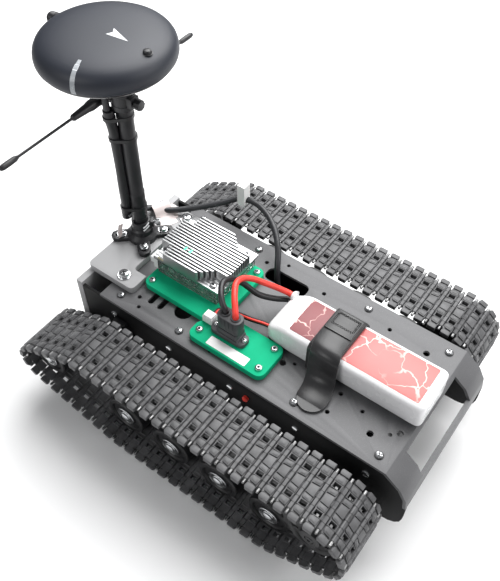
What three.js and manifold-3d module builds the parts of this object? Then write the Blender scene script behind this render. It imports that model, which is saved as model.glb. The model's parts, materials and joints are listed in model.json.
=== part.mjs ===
// Small tracked robot vehicle: a folded sheet chassis carried on two link tracks, with a battery,
// a power board, a finned controller and a satellite receiver on a mast.
// Millimetres, +Z up. The nose faces -Y, the mast stands at the +Y end, the vehicle's right side is -X.
// The pieces are laid out about the deck: x = 0 is the centre line, y = 0 the fold at the nose and
// z = 0 the deck's top face. The finished group is then moved so that its origin lies on the ground,
// under the middle of its box.

import * as THREE from 'three';
import { mergeVertices } from 'three/addons/utils/BufferGeometryUtils.js';
import Module from 'manifold-3d';

const wasm = await Module();
wasm.setup();

// ---------------------------------------------------------------- driving dimensions
const GAP = 0.3;                 // clear space left between pieces that touch
const TURN = Math.PI * 2;

const DECK = { half: 50, length: 211, sheet: 2 };
// outer face of the folded nose in (y, z), from the fold at the deck down to the cross bar
const NOSE = [[0, 0], [-10.8, -8.4], [-15.4, -16.2], [-16.6, -24.4]];
const NOSE_WINDOW = { half: 30.5, yBack: -2.2, zTop: -0.9, zBottom: -16.6, front: -22, round: 3 };
const CABLE_WINDOW = { x0: 24.6, x1: 35.4, y0: 104, y1: 135.4, round: 4 };
const DECK_SLOTS = { x0: -37, x1: -22, half: 2, y: [180.5, 172.8] };
const BIG_HOLES = { r: 6, at: [[-29, 158.4], [29.9, 158.7]] };
const SMALL_HOLES = [
  [-36.5, 188.7, 1.5], [36.5, 188.7, 1.5], [43, 183.8, 1.4], [-43, 183.8, 1.4], [42.5, 126.6, 1.3],
  [-43, 126.6, 1.3], [36.2, 140, 1.5], [36.2, 94.7, 1.5], [36.2, 46.2, 1.5], [-36.2, 46.2, 1.5],
  [33.8, 19.3, 2.2], [-33.8, 19.3, 2.2], [-23.7, 85.7, 2.2], [-20, 79.5, 1.3], [-27.7, 9.8, 1.3],
  [-23.7, 5.6, 2.1], [-24, 30, 1.4], [-21.3, 46.2, 1.5], [27.7, 9.8, 1.3], [23.7, 5.6, 2.1],
];
const SIDE = { out: 49.8, sheet: 2, top: -2.3, bottom: -50, rear: 226.6, noseRound: 12, shaftHole: 5 };
const BELLY = { y0: 8, y1: 224, z0: -49.9, z1: -47.9, half: 47.4 };

const TRACK = { centre: 78.5, width: 42, pitch: 9.5, out: 2, inside: 2.5, channel: 9.5,
  channelHalf: 2.3, channelTo: 0.75, notchHalf: 0.8, notchDeep: 1.3 };
const TOP_PIN_Z = -7;            // height of the hinge pins along the upper run
const SPROCKET = { teeth: 16, y: 18.5, discHalf: 1.5, root: 20.4, tipShort: 1.25, drum: 17.5,
  drumHalf: 6.6, hub: 8, hubFrom: 61, rimOut: 92.5, cap: 94, shaft: 3 };
const IDLER = { y: 228.35, z: -41.9, pinR: 16.4, from: 66, to: 90, hub: 5 };
const ROLLER = { y: 194, pinR: 12, from: 68, to: 88, hub: 4 };
const WHEEL = { y: [50.8, 89, 127.2, 165.4], z: -58.5, pinR: 17.5, from: 65, to: 86, hub: 7.6 };
const SPINDLE = { r: 2.9, bore: 3, deep: 6 };
const BEAM = { in: 50.1, sheet: 4 };
const MOTOR = { gearR: 12.5, gearL: 23, canR: 12, canL: 20, face: 47.5, bossR: 6 };

const BRACKET = { half: 38, y0: 193.4, y1: 232, z0: 0.3, z1: 5.3, round: 3, notchHalf: 24,
  notchY: 204.2, biteX: 11, biteY: 204.6, biteR: 4, wallHalf: 50, wall: 5, wallLow: -36.5 };
const BIG_SCREW = { x: 31.8, y: 205.3, headR: 3.5, headH: 2.6, washerR: 4.4, washerH: 0.8 };

const CONTROLLER = { x0: -28.6, x1: 26, y0: 133, y1: 192.6, z0: 0.3, z1: 5, round: 5 };
const CASE = { x0: -15.6, x1: 25.6, y0: 142.4, y1: 190, z0: 5.3, z1: 15.2, round: 2 };
const SINK = { x0: -15.4, x1: 25.7, z0: 15.5, base: 17.2, z1: 25, fins: 18, fin: 1.1,
  y0: 139.8, y1: 193.2, midX0: -6.6, midX1: 16.9, sideY0: 157, sideY1: 184, chamfer: 8 };
const PORT = { x0: -15, x1: -7.5, y1: 196.5, z0: 10.2, z1: 15.1, gap: 0.3 };
const POWER = { x0: -43.7, x1: -17, y0: 88, y1: 131, tongueX: -29.4, tongueY: 144, z0: 0.3, z1: 5, round: 5 };
const SOCKET = { x: -29.3, y: 121.2, flangeX: 4.6, flangeY: 12.6, flangeH: 3, bodyX: 4.3, bodyY: 8,
  bodyH: 5.4 };
const PLUG = { x: -29, y: 120.6, halfX: 4.6, halfY: 8.4, z0: 13.9, z1: 26, holeR: 2.3, holeDeep: 3,
  pins: 3.7 };
const BALANCE = { x: -27.4, y: 138, halfX: 3, halfY: 3.6, z0: 5.3, z1: 11.6 };

const BATTERY = { x0: -16.6, x1: 17, y0: -1.5, y1: 104.6, z0: 0.4, z1: 20.4, round: 4, taper: 5 };
const STRAP = { y0: 53.2, y1: 73.8, thick: 1.5, air: 0.35, foot: 0.4, bend: 3 };
const RING = { x: 19.4, halfY: 12.5, zLow: 2.5, zHigh: 13, r: 1.5 };

const MAST = { x: 2.4, y: 219.4, r: 4.5, bore: 4.8, z0: 7.4, z1: 127.5 };
const BASE = { z0: 5.6, plate: 3, arm: 21, armHalf: 4.3, slotIn: 12.5, slotOut: 18.2, slotHalf: 1.7,
  collarR: 7.4, collarTop: 15, neckR: 6.2, top: 21 };
const CLAMP_SCREW = { angle: -0.86, z: 17.6, from: 6.7, shaft: 1.4, to: 13, headR: 2.6, headL: 3 };
const HEAD = { r: 6.9, z0: 111.5, z1: 138.9 };
const HEAD_SCREW = { z: 118, from: 7.3, shaft: 1.4, to: 14.5, headR: 3.3, headL: 3.6 };
const PUCK = { x: -0.7, y: 222.5, r: 38.8, z0: 139.3, split: 145.4, z1: 160.6 };
const BUTTON = { x: -1, y: 192.4, r: 2.2, pocket: 2.55, out: 1, floor: 154.5, travel: 0.7 };
const LIGHT = { angle: 3.45, half: 2.1, deep: 1.1, zLow: 147, rOut: 39.1, rIn: 34.2, zTop: 157.4 };
const GLAND = { angle: 1.53, r: 3.6, from: 36.9, to: 43.4, z: 151.6, seat: 4 };
const AERIAL = { x: 0.75, y: 231.6, z: 114.6, half: 79, rod: 0.8, sleeve: 3.2, sleeveEnd: 1.9,
  sleeveAt: 26, tip: 1.7, tipL: 12.5, clipHalf: 4, clipFrom: 226.9 };

// ---------------------------------------------------------------- materials
const paint = (colour, roughness, metalness) =>
  new THREE.MeshStandardMaterial({ color: colour, roughness, metalness });
const DECK_PAINT = paint(0x4a4b4e, 0.55, 0.2);
const BLACK_SHEET = paint(0x141416, 0.5, 0.2);
const GREY_PRINT = paint(0x86868a, 0.6, 0);
const TRACK_PLASTIC = paint(0x2b2c2f, 0.6, 0);
const WHEEL_PLASTIC = paint(0x18181a, 0.55, 0);
const BLACK_PLASTIC = paint(0x17171a, 0.5, 0);
const STEEL = paint(0xb9bbbe, 0.3, 0.9);
const ALUMINIUM = paint(0xc6c8ca, 0.35, 0.85);
const GREEN = paint(0x12a468, 0.5, 0);
const CASE_CLEAR = paint(0x5f6d69, 0.2, 0);
const WHITE = paint(0xe9eaea, 0.5, 0);
const CHARCOAL = paint(0x3b3c3f, 0.55, 0);
const RED = paint(0xd8332c, 0.5, 0);
const RUBBER = paint(0x161618, 0.6, 0);
const WEBBING = paint(0x111113, 0.35, 0);
const PUCK_BLUE = paint(0x23262e, 0.55, 0);
const LAMP = paint(0xb8bcc0, 0.3, 0);

// ---------------------------------------------------------------- helpers
const group = new THREE.Group();

// closed three.js geometry -> solid for cutting and joining
function solid(geometry) {
  const bare = geometry.index ? geometry.toNonIndexed() : geometry.clone();
  for (const name of Object.keys(bare.attributes)) {
    if (name !== 'position') bare.deleteAttribute(name);
  }
  const merged = mergeVertices(bare, 1e-4);
  const mesh = new wasm.Mesh({
    numProp: 3,
    vertProperties: new Float32Array(merged.attributes.position.array),
    triVerts: new Uint32Array(merged.index.array),
  });
  return new wasm.Manifold(mesh);
}

// solid -> three.js geometry with flat shading
function surface(body) {
  const mesh = body.getMesh();
  const geometry = new THREE.BufferGeometry();
  geometry.setAttribute('position', new THREE.BufferAttribute(mesh.vertProperties, 3));
  geometry.setIndex(new THREE.BufferAttribute(mesh.triVerts, 1));
  return geometry;
}

function add(name, shape, material) {
  let geometry = shape.isBufferGeometry ? shape : surface(shape);
  geometry = geometry.index ? geometry.toNonIndexed() : geometry;
  geometry.computeVertexNormals();
  const mesh = new THREE.Mesh(geometry, material);
  mesh.name = name;
  group.add(mesh);
  return mesh;
}

function box(x0, x1, y0, y1, z0, z1) {
  const geometry = new THREE.BoxGeometry(x1 - x0, y1 - y0, z1 - z0);
  geometry.translate((x0 + x1) / 2, (y0 + y1) / 2, (z0 + z1) / 2);
  return geometry;
}

const polygon = (points) => new THREE.Shape(points.map(([a, b]) => new THREE.Vector2(a, b)));

// outline in (x, y) raised from z0 to z1
function prismZ(points, z0, z1) {
  const shape = points.isShape ? points : polygon(points);
  const geometry = new THREE.ExtrudeGeometry(shape, { depth: z1 - z0, bevelEnabled: false });
  geometry.translate(0, 0, z0);
  return geometry;
}

// outline in (y, z) swept from x0 to x1
function prismX(points, x0, x1) {
  const shape = polygon(points);
  const geometry = new THREE.ExtrudeGeometry(shape, { depth: x1 - x0, bevelEnabled: false });
  const axes = new THREE.Matrix4().set(0, 0, 1, x0, 1, 0, 0, 0, 0, 1, 0, 0, 0, 0, 0, 1);
  geometry.applyMatrix4(axes);
  return geometry;
}

// outline in (x, z) swept from y0 to y1
function prismY(points, y0, y1) {
  const geometry = new THREE.ExtrudeGeometry(polygon(points), { depth: y1 - y0, bevelEnabled: false });
  const axes = new THREE.Matrix4().set(1, 0, 0, 0, 0, 0, -1, y1, 0, 1, 0, 0, 0, 0, 0, 1);
  geometry.applyMatrix4(axes);
  return geometry;
}

// rectangle with rounded corners
function rounded(x0, x1, y0, y1, r, steps = 3) {
  const points = [];
  const corners = [[x1 - r, y1 - r, 0], [x0 + r, y1 - r, 1], [x0 + r, y0 + r, 2], [x1 - r, y0 + r, 3]];
  for (const [cx, cy, quarter] of corners) {
    for (let i = 0; i <= steps; i += 1) {
      const angle = (quarter + i / steps) * TURN / 4;
      points.push([cx + r * Math.cos(angle), cy + r * Math.sin(angle)]);
    }
  }
  return points;
}

function cylinderZ(x, y, r, z0, z1, sides = 12) {
  const geometry = new THREE.CylinderGeometry(r, r, z1 - z0, sides);
  geometry.rotateX(TURN / 4);
  geometry.translate(x, y, (z0 + z1) / 2);
  return geometry;
}

// profile of [radius, distance along the axis] turned about an axis along +X through (y, z)
function latheX(profile, y, z, sides = 24) {
  const points = profile.map(([r, t]) => new THREE.Vector2(r, t));
  const geometry = new THREE.LatheGeometry(points, sides);
  geometry.rotateZ(-TURN / 4);
  geometry.translate(0, y, z);
  return geometry;
}

// the same about an upright axis through (x, y)
function latheZ(profile, x, y, sides = 24) {
  const points = profile.map(([r, t]) => new THREE.Vector2(r, t));
  const geometry = new THREE.LatheGeometry(points, sides);
  geometry.rotateX(TURN / 4);
  geometry.translate(x, y, 0);
  return geometry;
}

// round cord through a list of points
function cord(points, r, steps, sides = 8) {
  const curve = new THREE.CatmullRomCurve3(points.map((p) => new THREE.Vector3(...p)), false, 'centripetal');
  const section = polygon([...Array(sides).keys()].map((i) =>
    [r * Math.cos(i / sides * TURN), r * Math.sin(i / sides * TURN)]));
  return new THREE.ExtrudeGeometry(section, { steps, bevelEnabled: false, extrudePath: curve });
}

// an open outline moved sideways by d, mitred at its corners
function offsetLine(points, d) {
  return points.map((p, i) => {
    const a = points[Math.max(i - 1, 0)];
    const b = points[Math.min(i + 1, points.length - 1)];
    const n1 = normal(i > 0 ? a : p, i > 0 ? p : b);
    const n2 = normal(i < points.length - 1 ? p : a, i < points.length - 1 ? b : p);
    const scale = d / (1 + n1[0] * n2[0] + n1[1] * n2[1]);
    return [p[0] + (n1[0] + n2[0]) * scale, p[1] + (n1[1] + n2[1]) * scale];
  });
}

function normal(a, b) {
  const length = Math.hypot(b[0] - a[0], b[1] - a[1]);
  return [-(b[1] - a[1]) / length, (b[0] - a[0]) / length];
}

function union(...shapes) {
  return shapes.map((s) => (s.isBufferGeometry ? solid(s) : s)).reduce((a, b) => a.add(b));
}

function cut(body, ...tools) {
  const start = body.isBufferGeometry ? solid(body) : body;
  return tools.reduce((a, b) => a.subtract(b.isBufferGeometry ? solid(b) : b), start);
}

const SIDES = [['right', -1], ['left', 1]];
// a span given as distances out from the centre line, put on one side of the vehicle
const span = (side, a, b) => (side > 0 ? [a, b] : [-b, -a]);

// ---------------------------------------------------------------- chassis sheets
const noseInner = offsetLine(NOSE, DECK.sheet);
const deckProfile = [[DECK.length, 0], [DECK.length, -DECK.sheet], ...[...noseInner]
  .map(([y, z], i) => (i === 0 ? [y, -DECK.sheet] : [y, z])), ...[...NOSE].reverse()];
const deckTools = [
  prismZ(rounded(CABLE_WINDOW.x0, CABLE_WINDOW.x1, CABLE_WINDOW.y0, CABLE_WINDOW.y1, CABLE_WINDOW.round),
    -DECK.sheet - 1, 1),
  ...DECK_SLOTS.y.map((y) => prismZ(rounded(DECK_SLOTS.x0, DECK_SLOTS.x1, y - DECK_SLOTS.half,
    y + DECK_SLOTS.half, DECK_SLOTS.half * 0.99, 2), -DECK.sheet - 1, 1)),
  ...BIG_HOLES.at.map(([x, y]) => cylinderZ(x, y, BIG_HOLES.r, -DECK.sheet - 1, 1, 16)),
  ...SMALL_HOLES.map(([x, y, r]) => cylinderZ(x, y, r, -DECK.sheet - 1, 1, 8)),
  prismX([[NOSE_WINDOW.yBack, NOSE_WINDOW.zTop], [NOSE_WINDOW.front, NOSE_WINDOW.zTop + 12],
    [NOSE_WINDOW.front, NOSE_WINDOW.zBottom], [NOSE_WINDOW.yBack - 4, NOSE_WINDOW.zBottom],
    [NOSE_WINDOW.yBack, NOSE_WINDOW.zTop - 6]], -NOSE_WINDOW.half, NOSE_WINDOW.half),
];
add('deck_plate', cut(prismX(deckProfile, -DECK.half, DECK.half), ...deckTools), DECK_PAINT);

const sideNose = offsetLine(NOSE, DECK.sheet + GAP);
const lastNose = NOSE[NOSE.length - 1];
const lowerFront = [];
for (let i = 0; i <= 4; i += 1) {
  const angle = TURN / 2 + i / 4 * TURN / 4;
  lowerFront.push([lastNose[0] + SIDE.noseRound * (1 + Math.cos(angle)),
    SIDE.bottom + SIDE.noseRound * (1 + Math.sin(angle))]);
}
const sideOutline = [[SIDE.rear, SIDE.top], ...sideNose.map(([y, z], i) => (i === 0 ? [y, SIDE.top] : [y, z])),
  [sideNose[sideNose.length - 1][0], lastNose[1] - GAP], [lastNose[0], lastNose[1] - GAP],
  ...lowerFront, [SIDE.rear - 14, SIDE.bottom], [SIDE.rear, SIDE.bottom + 12]];
const sprocketR = TRACK.pitch / (2 * Math.sin(Math.PI / SPROCKET.teeth));
const sprocketZ = TOP_PIN_Z - sprocketR;
for (const [name, side] of SIDES) {
  const [x0, x1] = span(side, SIDE.out - SIDE.sheet, SIDE.out);
  const hole = latheX([[0, x0 - 1], [SIDE.shaftHole, x0 - 1], [SIDE.shaftHole, x1 + 1], [0, x1 + 1]],
    SPROCKET.y, sprocketZ, 20);
  add(`${name}_side_plate`, cut(prismX(sideOutline, x0, x1), hole), BLACK_SHEET);
}
add('belly_plate', box(-BELLY.half, BELLY.half, BELLY.y0, BELLY.y1, BELLY.z0, BELLY.z1), BLACK_SHEET);

// ---------------------------------------------------------------- the tracks' closed path
// Circles that the hinge pins run around, in order from the nose over the top: [y, z, radius].
const CIRCLES = [
  [SPROCKET.y, sprocketZ, sprocketR],
  [ROLLER.y, TOP_PIN_Z - ROLLER.pinR, ROLLER.pinR],
  [IDLER.y, IDLER.z, IDLER.pinR],
  [WHEEL.y[3], WHEEL.z, WHEEL.pinR],
  [WHEEL.y[0], WHEEL.z, WHEEL.pinR],
];
const tangents = CIRCLES.map((a, i) => {
  const b = CIRCLES[(i + 1) % CIRCLES.length];
  const length = Math.hypot(b[0] - a[0], b[1] - a[1]);
  const along = [(b[0] - a[0]) / length, (b[1] - a[1]) / length];
  const lean = (a[2] - b[2]) / length;
  const side = Math.sqrt(1 - lean * lean);
  return [lean * along[0] - side * along[1], lean * along[1] + side * along[0]];
});
// straight runs and arcs, each with its own length
const pieces = [];
CIRCLES.forEach((a, i) => {
  const b = CIRCLES[(i + 1) % CIRCLES.length];
  const n = tangents[i];
  const next = tangents[(i + 1) % CIRCLES.length];
  const from = [a[0] + a[2] * n[0], a[1] + a[2] * n[1]];
  const to = [b[0] + b[2] * n[0], b[1] + b[2] * n[1]];
  pieces.push({ from, to, n, length: Math.hypot(to[0] - from[0], to[1] - from[1]) });
  const start = Math.atan2(n[1], n[0]);
  let turn = start - Math.atan2(next[1], next[0]);
  while (turn < 0) turn += TURN;
  pieces.push({ centre: b, start, turn, length: turn * b[2] });
});
const pathLength = pieces.reduce((sum, p) => sum + p.length, 0);
export const LINKS = Math.round(pathLength / TRACK.pitch);
const linkPitch = pathLength / LINKS;

// point on the pin path, moved outward by d
function onPath(s, d) {
  let rest = ((s % pathLength) + pathLength) % pathLength;
  for (const p of pieces) {
    if (rest <= p.length) {
      if (p.from) {
        const k = rest / p.length;
        return [p.from[0] + (p.to[0] - p.from[0]) * k + p.n[0] * d,
          p.from[1] + (p.to[1] - p.from[1]) * k + p.n[1] * d];
      }
      const angle = p.start - rest / p.centre[2];
      return [p.centre[0] + (p.centre[2] + d) * Math.cos(angle),
        p.centre[1] + (p.centre[2] + d) * Math.sin(angle)];
    }
    rest -= p.length;
  }
  return null;
}

// distances along the path where a smooth offset loop needs a corner
function stations() {
  const list = [];
  let s = 0;
  for (const p of pieces) {
    list.push(s);
    if (p.centre) {
      const steps = Math.max(2, Math.round(p.turn / (TURN / 20)));
      for (let i = 1; i < steps; i += 1) list.push(s + p.length * i / steps);
    }
    s += p.length;
  }
  return list;
}
const smooth = (d) => stations().map((s) => onPath(s, d));
const treadLine = [];
for (let i = 0; i < LINKS; i += 1) {
  const s = (i + 0.5) * linkPitch;
  treadLine.push([s - TRACK.notchHalf, TRACK.out], [s, TRACK.out - TRACK.notchDeep],
    [s + TRACK.notchHalf, TRACK.out]);
}
const tread = treadLine.map(([s, d]) => onPath(s, d));

for (const [name, side] of SIDES) {
  const [x0, x1] = span(side, TRACK.centre - TRACK.width / 2, TRACK.centre + TRACK.width / 2);
  const band = solid(prismX([...tread].reverse(), x0, x1));
  const tools = [prismX(smooth(-TRACK.inside).reverse(), x0 - 1, x1 + 1)];
  for (const at of [-TRACK.channel, TRACK.channel]) {
    const x = side * TRACK.centre + at;
    tools.push(prismX(smooth(-TRACK.channelTo).reverse(), x - TRACK.channelHalf, x + TRACK.channelHalf));
  }
  add(`${name}_track`, cut(band, ...tools), TRACK_PLASTIC);
}

// ---------------------------------------------------------------- sprockets, idlers, rollers, wheels
function toothedDisc(x0, x1) {
  const outline = [];
  const tip = sprocketR - SPROCKET.tipShort;
  for (let i = 0; i < SPROCKET.teeth; i += 1) {
    const middle = TURN / 4 + i * TURN / SPROCKET.teeth;
    for (const [turn, r] of [[-0.1, SPROCKET.root], [-0.055, tip], [0.055, tip], [0.1, SPROCKET.root]]) {
      outline.push([r * Math.cos(middle + turn), r * Math.sin(middle + turn)]);
    }
  }
  const disc = prismX(outline, x0, x1);
  disc.translate(0, SPROCKET.y, sprocketZ);
  return disc;
}

const flip = (profile, side) => (side > 0 ? profile : profile.map(([r, t]) => [r, -t]).reverse());

for (const [name, side] of SIDES) {
  const c = TRACK.centre;
  const drum = flip([[0, MOTOR.face + GAP], [SPROCKET.shaft, MOTOR.face + GAP], [SPROCKET.shaft, SPROCKET.hubFrom],
    [SPROCKET.hub, SPROCKET.hubFrom], [SPROCKET.hub, c - SPROCKET.drumHalf],
    [SPROCKET.drum, c - SPROCKET.drumHalf], [SPROCKET.drum, SPROCKET.rimOut - 3], [SPROCKET.drum - 3, SPROCKET.rimOut],
    [SPROCKET.hub, SPROCKET.rimOut - 1.5], [SPROCKET.hub - 2, SPROCKET.cap], [0, SPROCKET.cap]], side);
  const discs = [-TRACK.channel, TRACK.channel].map((at) =>
    toothedDisc(side * c + at - SPROCKET.discHalf, side * c + at + SPROCKET.discHalf));
  add(`${name}_sprocket`, union(latheX(drum, SPROCKET.y, sprocketZ, 16), ...discs), WHEEL_PLASTIC);
}

// a plain wheel with a blind bore that turns on a fixed spindle
function rollingWheel(side, dims, rim, y, z, sides, cap) {
  const boreEnd = dims.to - SPINDLE.deep;
  const profile = [[0, boreEnd], [SPINDLE.bore, boreEnd], [SPINDLE.bore, dims.from - 2], [dims.hub, dims.from - 2],
    [dims.hub, dims.from], [rim, dims.from], [rim, dims.to], [rim - 4.2, dims.to], [rim - 5, dims.to - 1.6],
    [dims.hub, dims.to - 1.6], [dims.hub * 0.66, dims.to + cap], [0, dims.to + cap + 0.6]];
  return latheX(flip(profile, side), y, z, sides);
}

for (const [name, side] of SIDES) {
  const clear = TRACK.inside + GAP;
  add(`${name}_idler`, rollingWheel(side, IDLER, IDLER.pinR - clear, IDLER.y, IDLER.z, 16, 0.8), WHEEL_PLASTIC);
  add(`${name}_return_roller`, rollingWheel(side, ROLLER, ROLLER.pinR - clear, ROLLER.y,
    TOP_PIN_Z - ROLLER.pinR, 14, 0.6), WHEEL_PLASTIC);
  WHEEL.y.forEach((y, i) => {
    add(`${name}_road_wheel_${i + 1}`, rollingWheel(side, WHEEL, WHEEL.pinR - clear, y, WHEEL.z, 16, 1.2),
      WHEEL_PLASTIC);
  });
}

// the plate outside each side sheet that carries the spindles
const BEAM_OUTLINE = [[40, -38], [40, -62], [46, -66], [170, -66], [176, -63], [222, -50], [234, -48],
  [236, -42], [234, -35], [222, -35], [206, -35], [199, -14], [189, -14], [180, -38]];
for (const [name, side] of SIDES) {
  const [x0, x1] = span(side, BEAM.in, BEAM.in + BEAM.sheet);
  const parts = [prismX([...BEAM_OUTLINE].reverse(), x0, x1)];
  const stub = (dims, y, z) => {
    const end = dims.to - SPINDLE.deep - GAP;
    const profile = flip([[0, BEAM.in + 1], [SPINDLE.r, BEAM.in + 1], [SPINDLE.r, end], [0, end]], side);
    parts.push(latheX(profile, y, z, 12));
  };
  stub(IDLER, IDLER.y, IDLER.z);
  stub(ROLLER, ROLLER.y, TOP_PIN_Z - ROLLER.pinR);
  WHEEL.y.forEach((y) => stub(WHEEL, y, WHEEL.z));
  add(`${name}_wheel_beam`, union(...parts), BLACK_PLASTIC);
}

for (const [name, side] of SIDES) {
  const f = MOTOR.face;
  const profile = flip([[0, f - MOTOR.gearL - MOTOR.canL], [MOTOR.canR, f - MOTOR.gearL - MOTOR.canL],
    [MOTOR.canR, f - MOTOR.gearL], [MOTOR.gearR, f - MOTOR.gearL], [MOTOR.gearR, f], [0, f]], side);
  add(`${name}_gear_motor`, latheX(profile, SPROCKET.y, sprocketZ, 20), STEEL);
}

// ---------------------------------------------------------------- rear bracket and its screws
const b = BRACKET;
const platform = prismZ(rounded(-b.half, b.half, b.y0, b.y1, b.round), b.z0, b.z1);
const wall = box(-b.wallHalf, b.wallHalf, b.y1 - b.wall, b.y1, b.wallLow, 0);
const rib = box(-b.half + b.round, b.half - b.round, b.y1 - b.wall, b.y1, -1, 2);
const notch = prismZ(rounded(-b.notchHalf, b.notchHalf, b.y0 - 8, b.notchY, 2.5), -1, b.z1 + 1);
const bite = cylinderZ(b.biteX, b.biteY, b.biteR, -1, b.z1 + 1, 14);
const screwHoles = [-1, 1].map((s) => cylinderZ(s * BIG_SCREW.x, BIG_SCREW.y, 1.8, -1, b.z1 + 1, 10));
add('rear_bracket', cut(union(platform, wall, rib), notch, bite, ...screwHoles), GREY_PRINT);

for (const [name, side] of SIDES) {
  const s = BIG_SCREW;
  const z = b.z1 + GAP;
  const profile = [[0, b.z0], [1.4, b.z0], [1.4, z], [s.washerR, z], [s.washerR, z + s.washerH],
    [s.headR, z + s.washerH], [s.headR, z + s.washerH + s.headH * 0.7], [s.headR * 0.7, z + s.washerH + s.headH],
    [0, z + s.washerH + s.headH]];
  add(`${name}_bracket_screw`, latheZ(profile, side * s.x, s.y, 12), STEEL);
}

// ---------------------------------------------------------------- controller and power board
const c = CONTROLLER;
add('controller_plate', prismZ(rounded(c.x0, c.x1, c.y0, c.y1, c.round), c.z0, c.z1), GREEN);
const k = CASE;
add('controller_case', prismZ(rounded(k.x0, k.x1, k.y0, k.y1, k.round), k.z0, k.z1), CASE_CLEAR);

const finStep = (SINK.x1 - SINK.x0 - SINK.fin) / (SINK.fins - 1);
const comb = [[SINK.x0, SINK.z0], [SINK.x1, SINK.z0]];
for (let i = SINK.fins - 1; i >= 0; i -= 1) {
  const x = SINK.x0 + i * finStep;
  comb.push([x + SINK.fin, SINK.base], [x + SINK.fin, SINK.z1], [x, SINK.z1], [x, SINK.base]);
}
const combClean = comb.filter(([x, z]) => z !== SINK.base || (x > SINK.x0 + 0.01 && x < SINK.x1 - 0.01));
const away = 6;
const finCut = (outline) => prismZ(outline, SINK.base + 0.01, SINK.z1 + 1);
const cuts = [
  finCut([[SINK.midX1, SINK.y0 - away], [SINK.x1 + away, SINK.y0 - away], [SINK.x1 + away, SINK.sideY0 + SINK.chamfer],
    [SINK.midX1, SINK.sideY0 - SINK.chamfer]]),
  finCut([[SINK.x0 - away, SINK.y0 - away], [SINK.midX0, SINK.y0 - away], [SINK.midX0, SINK.sideY0 - SINK.chamfer],
    [SINK.x0 - away, SINK.sideY0 + SINK.chamfer]]),
  finCut([[SINK.midX1, SINK.sideY1 + 2], [SINK.x1 + away, SINK.sideY1], [SINK.x1 + away, SINK.y1 + away],
    [SINK.midX1, SINK.y1 + away]]),
  finCut([[SINK.x0 - away, SINK.sideY1], [SINK.midX0, SINK.sideY1 + 2], [SINK.midX0, SINK.y1 + away],
    [SINK.x0 - away, SINK.y1 + away]]),
];
add('heatsink', cut(prismY(combClean, SINK.y0, SINK.y1), ...cuts), ALUMINIUM);

const p = POWER;
add('power_plate', union(prismZ(rounded(p.x0, p.x1, p.y0, p.y1, p.round), p.z0, p.z1),
  prismZ(rounded(p.x0, p.tongueX, p.y1 - 20, p.tongueY, p.round), p.z0, p.z1)), GREEN);
const sk = SOCKET;
const socketZ = p.z1 + GAP;
add('power_socket', union(
  prismZ(rounded(sk.x - sk.flangeX, sk.x + sk.flangeX, sk.y - sk.flangeY, sk.y + sk.flangeY, 2), socketZ,
    socketZ + sk.flangeH),
  prismZ([[sk.x - sk.bodyX, sk.y - sk.bodyY], [sk.x + sk.bodyX, sk.y - sk.bodyY],
    [sk.x + sk.bodyX, sk.y + sk.bodyY - 2], [sk.x + sk.bodyX - 2, sk.y + sk.bodyY],
    [sk.x - sk.bodyX + 2, sk.y + sk.bodyY], [sk.x - sk.bodyX, sk.y + sk.bodyY - 2]],
  socketZ + 1, socketZ + sk.flangeH + sk.bodyH)), CHARCOAL);
const g = PLUG;
const plugHoles = [-1, 1].map((s) => cylinderZ(g.x, g.y + s * g.pins, g.holeR, g.z1 - g.holeDeep, g.z1 + 1, 12));
add('power_plug', cut(prismZ(rounded(g.x - g.halfX, g.x + g.halfX, g.y - g.halfY, g.y + g.halfY, 3.8),
  g.z0 + GAP, g.z1), ...plugHoles), CHARCOAL);
const w = BALANCE;
add('balance_plug', box(w.x - w.halfX, w.x + w.halfX, w.y - w.halfY, w.y + w.halfY, w.z0, w.z1), WHITE);
add('controller_port', box(PORT.x0, PORT.x1, CASE.y1 + GAP, PORT.y1, PORT.z0 - 4, PORT.z1), WHITE);

// ---------------------------------------------------------------- battery and strap
const q = BATTERY;
const packOutline = rounded(q.x0, q.x1, q.z0, q.z1, q.round);
const pack = solid(prismY(packOutline, q.y0, q.y1));
const wedge = prismX([[q.y1 - q.taper * 2, q.z1 + 1], [q.y1 - q.taper * 2, q.z1], [q.y1 + 1, q.z1 - q.taper],
  [q.y1 + 1, q.z1 + 1]].reverse(), q.x0 - 1, q.x1 + 1);
add('battery', cut(pack, wedge), WHITE);

const st = STRAP;
const inner = [q.x0 - st.air, q.x1 + st.air, q.z1 + st.air];
const archInner = [[inner[0], st.foot], [inner[0], inner[2] - st.bend], [inner[0] + st.bend, inner[2]],
  [inner[1] - st.bend, inner[2]], [inner[1], inner[2] - st.bend], [inner[1], st.foot]];
const archOuter = [[inner[1] + st.thick, st.foot], [inner[1] + st.thick, inner[2] - st.bend + 0.6],
  [inner[1] - st.bend + 0.6, inner[2] + st.thick], [inner[0] + st.bend - 0.6, inner[2] + st.thick],
  [inner[0] - st.thick, inner[2] - st.bend + 0.6], [inner[0] - st.thick, st.foot]];
add('battery_strap', prismY([...archInner, ...archOuter].reverse(), st.y0, st.y1), WEBBING);

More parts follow.
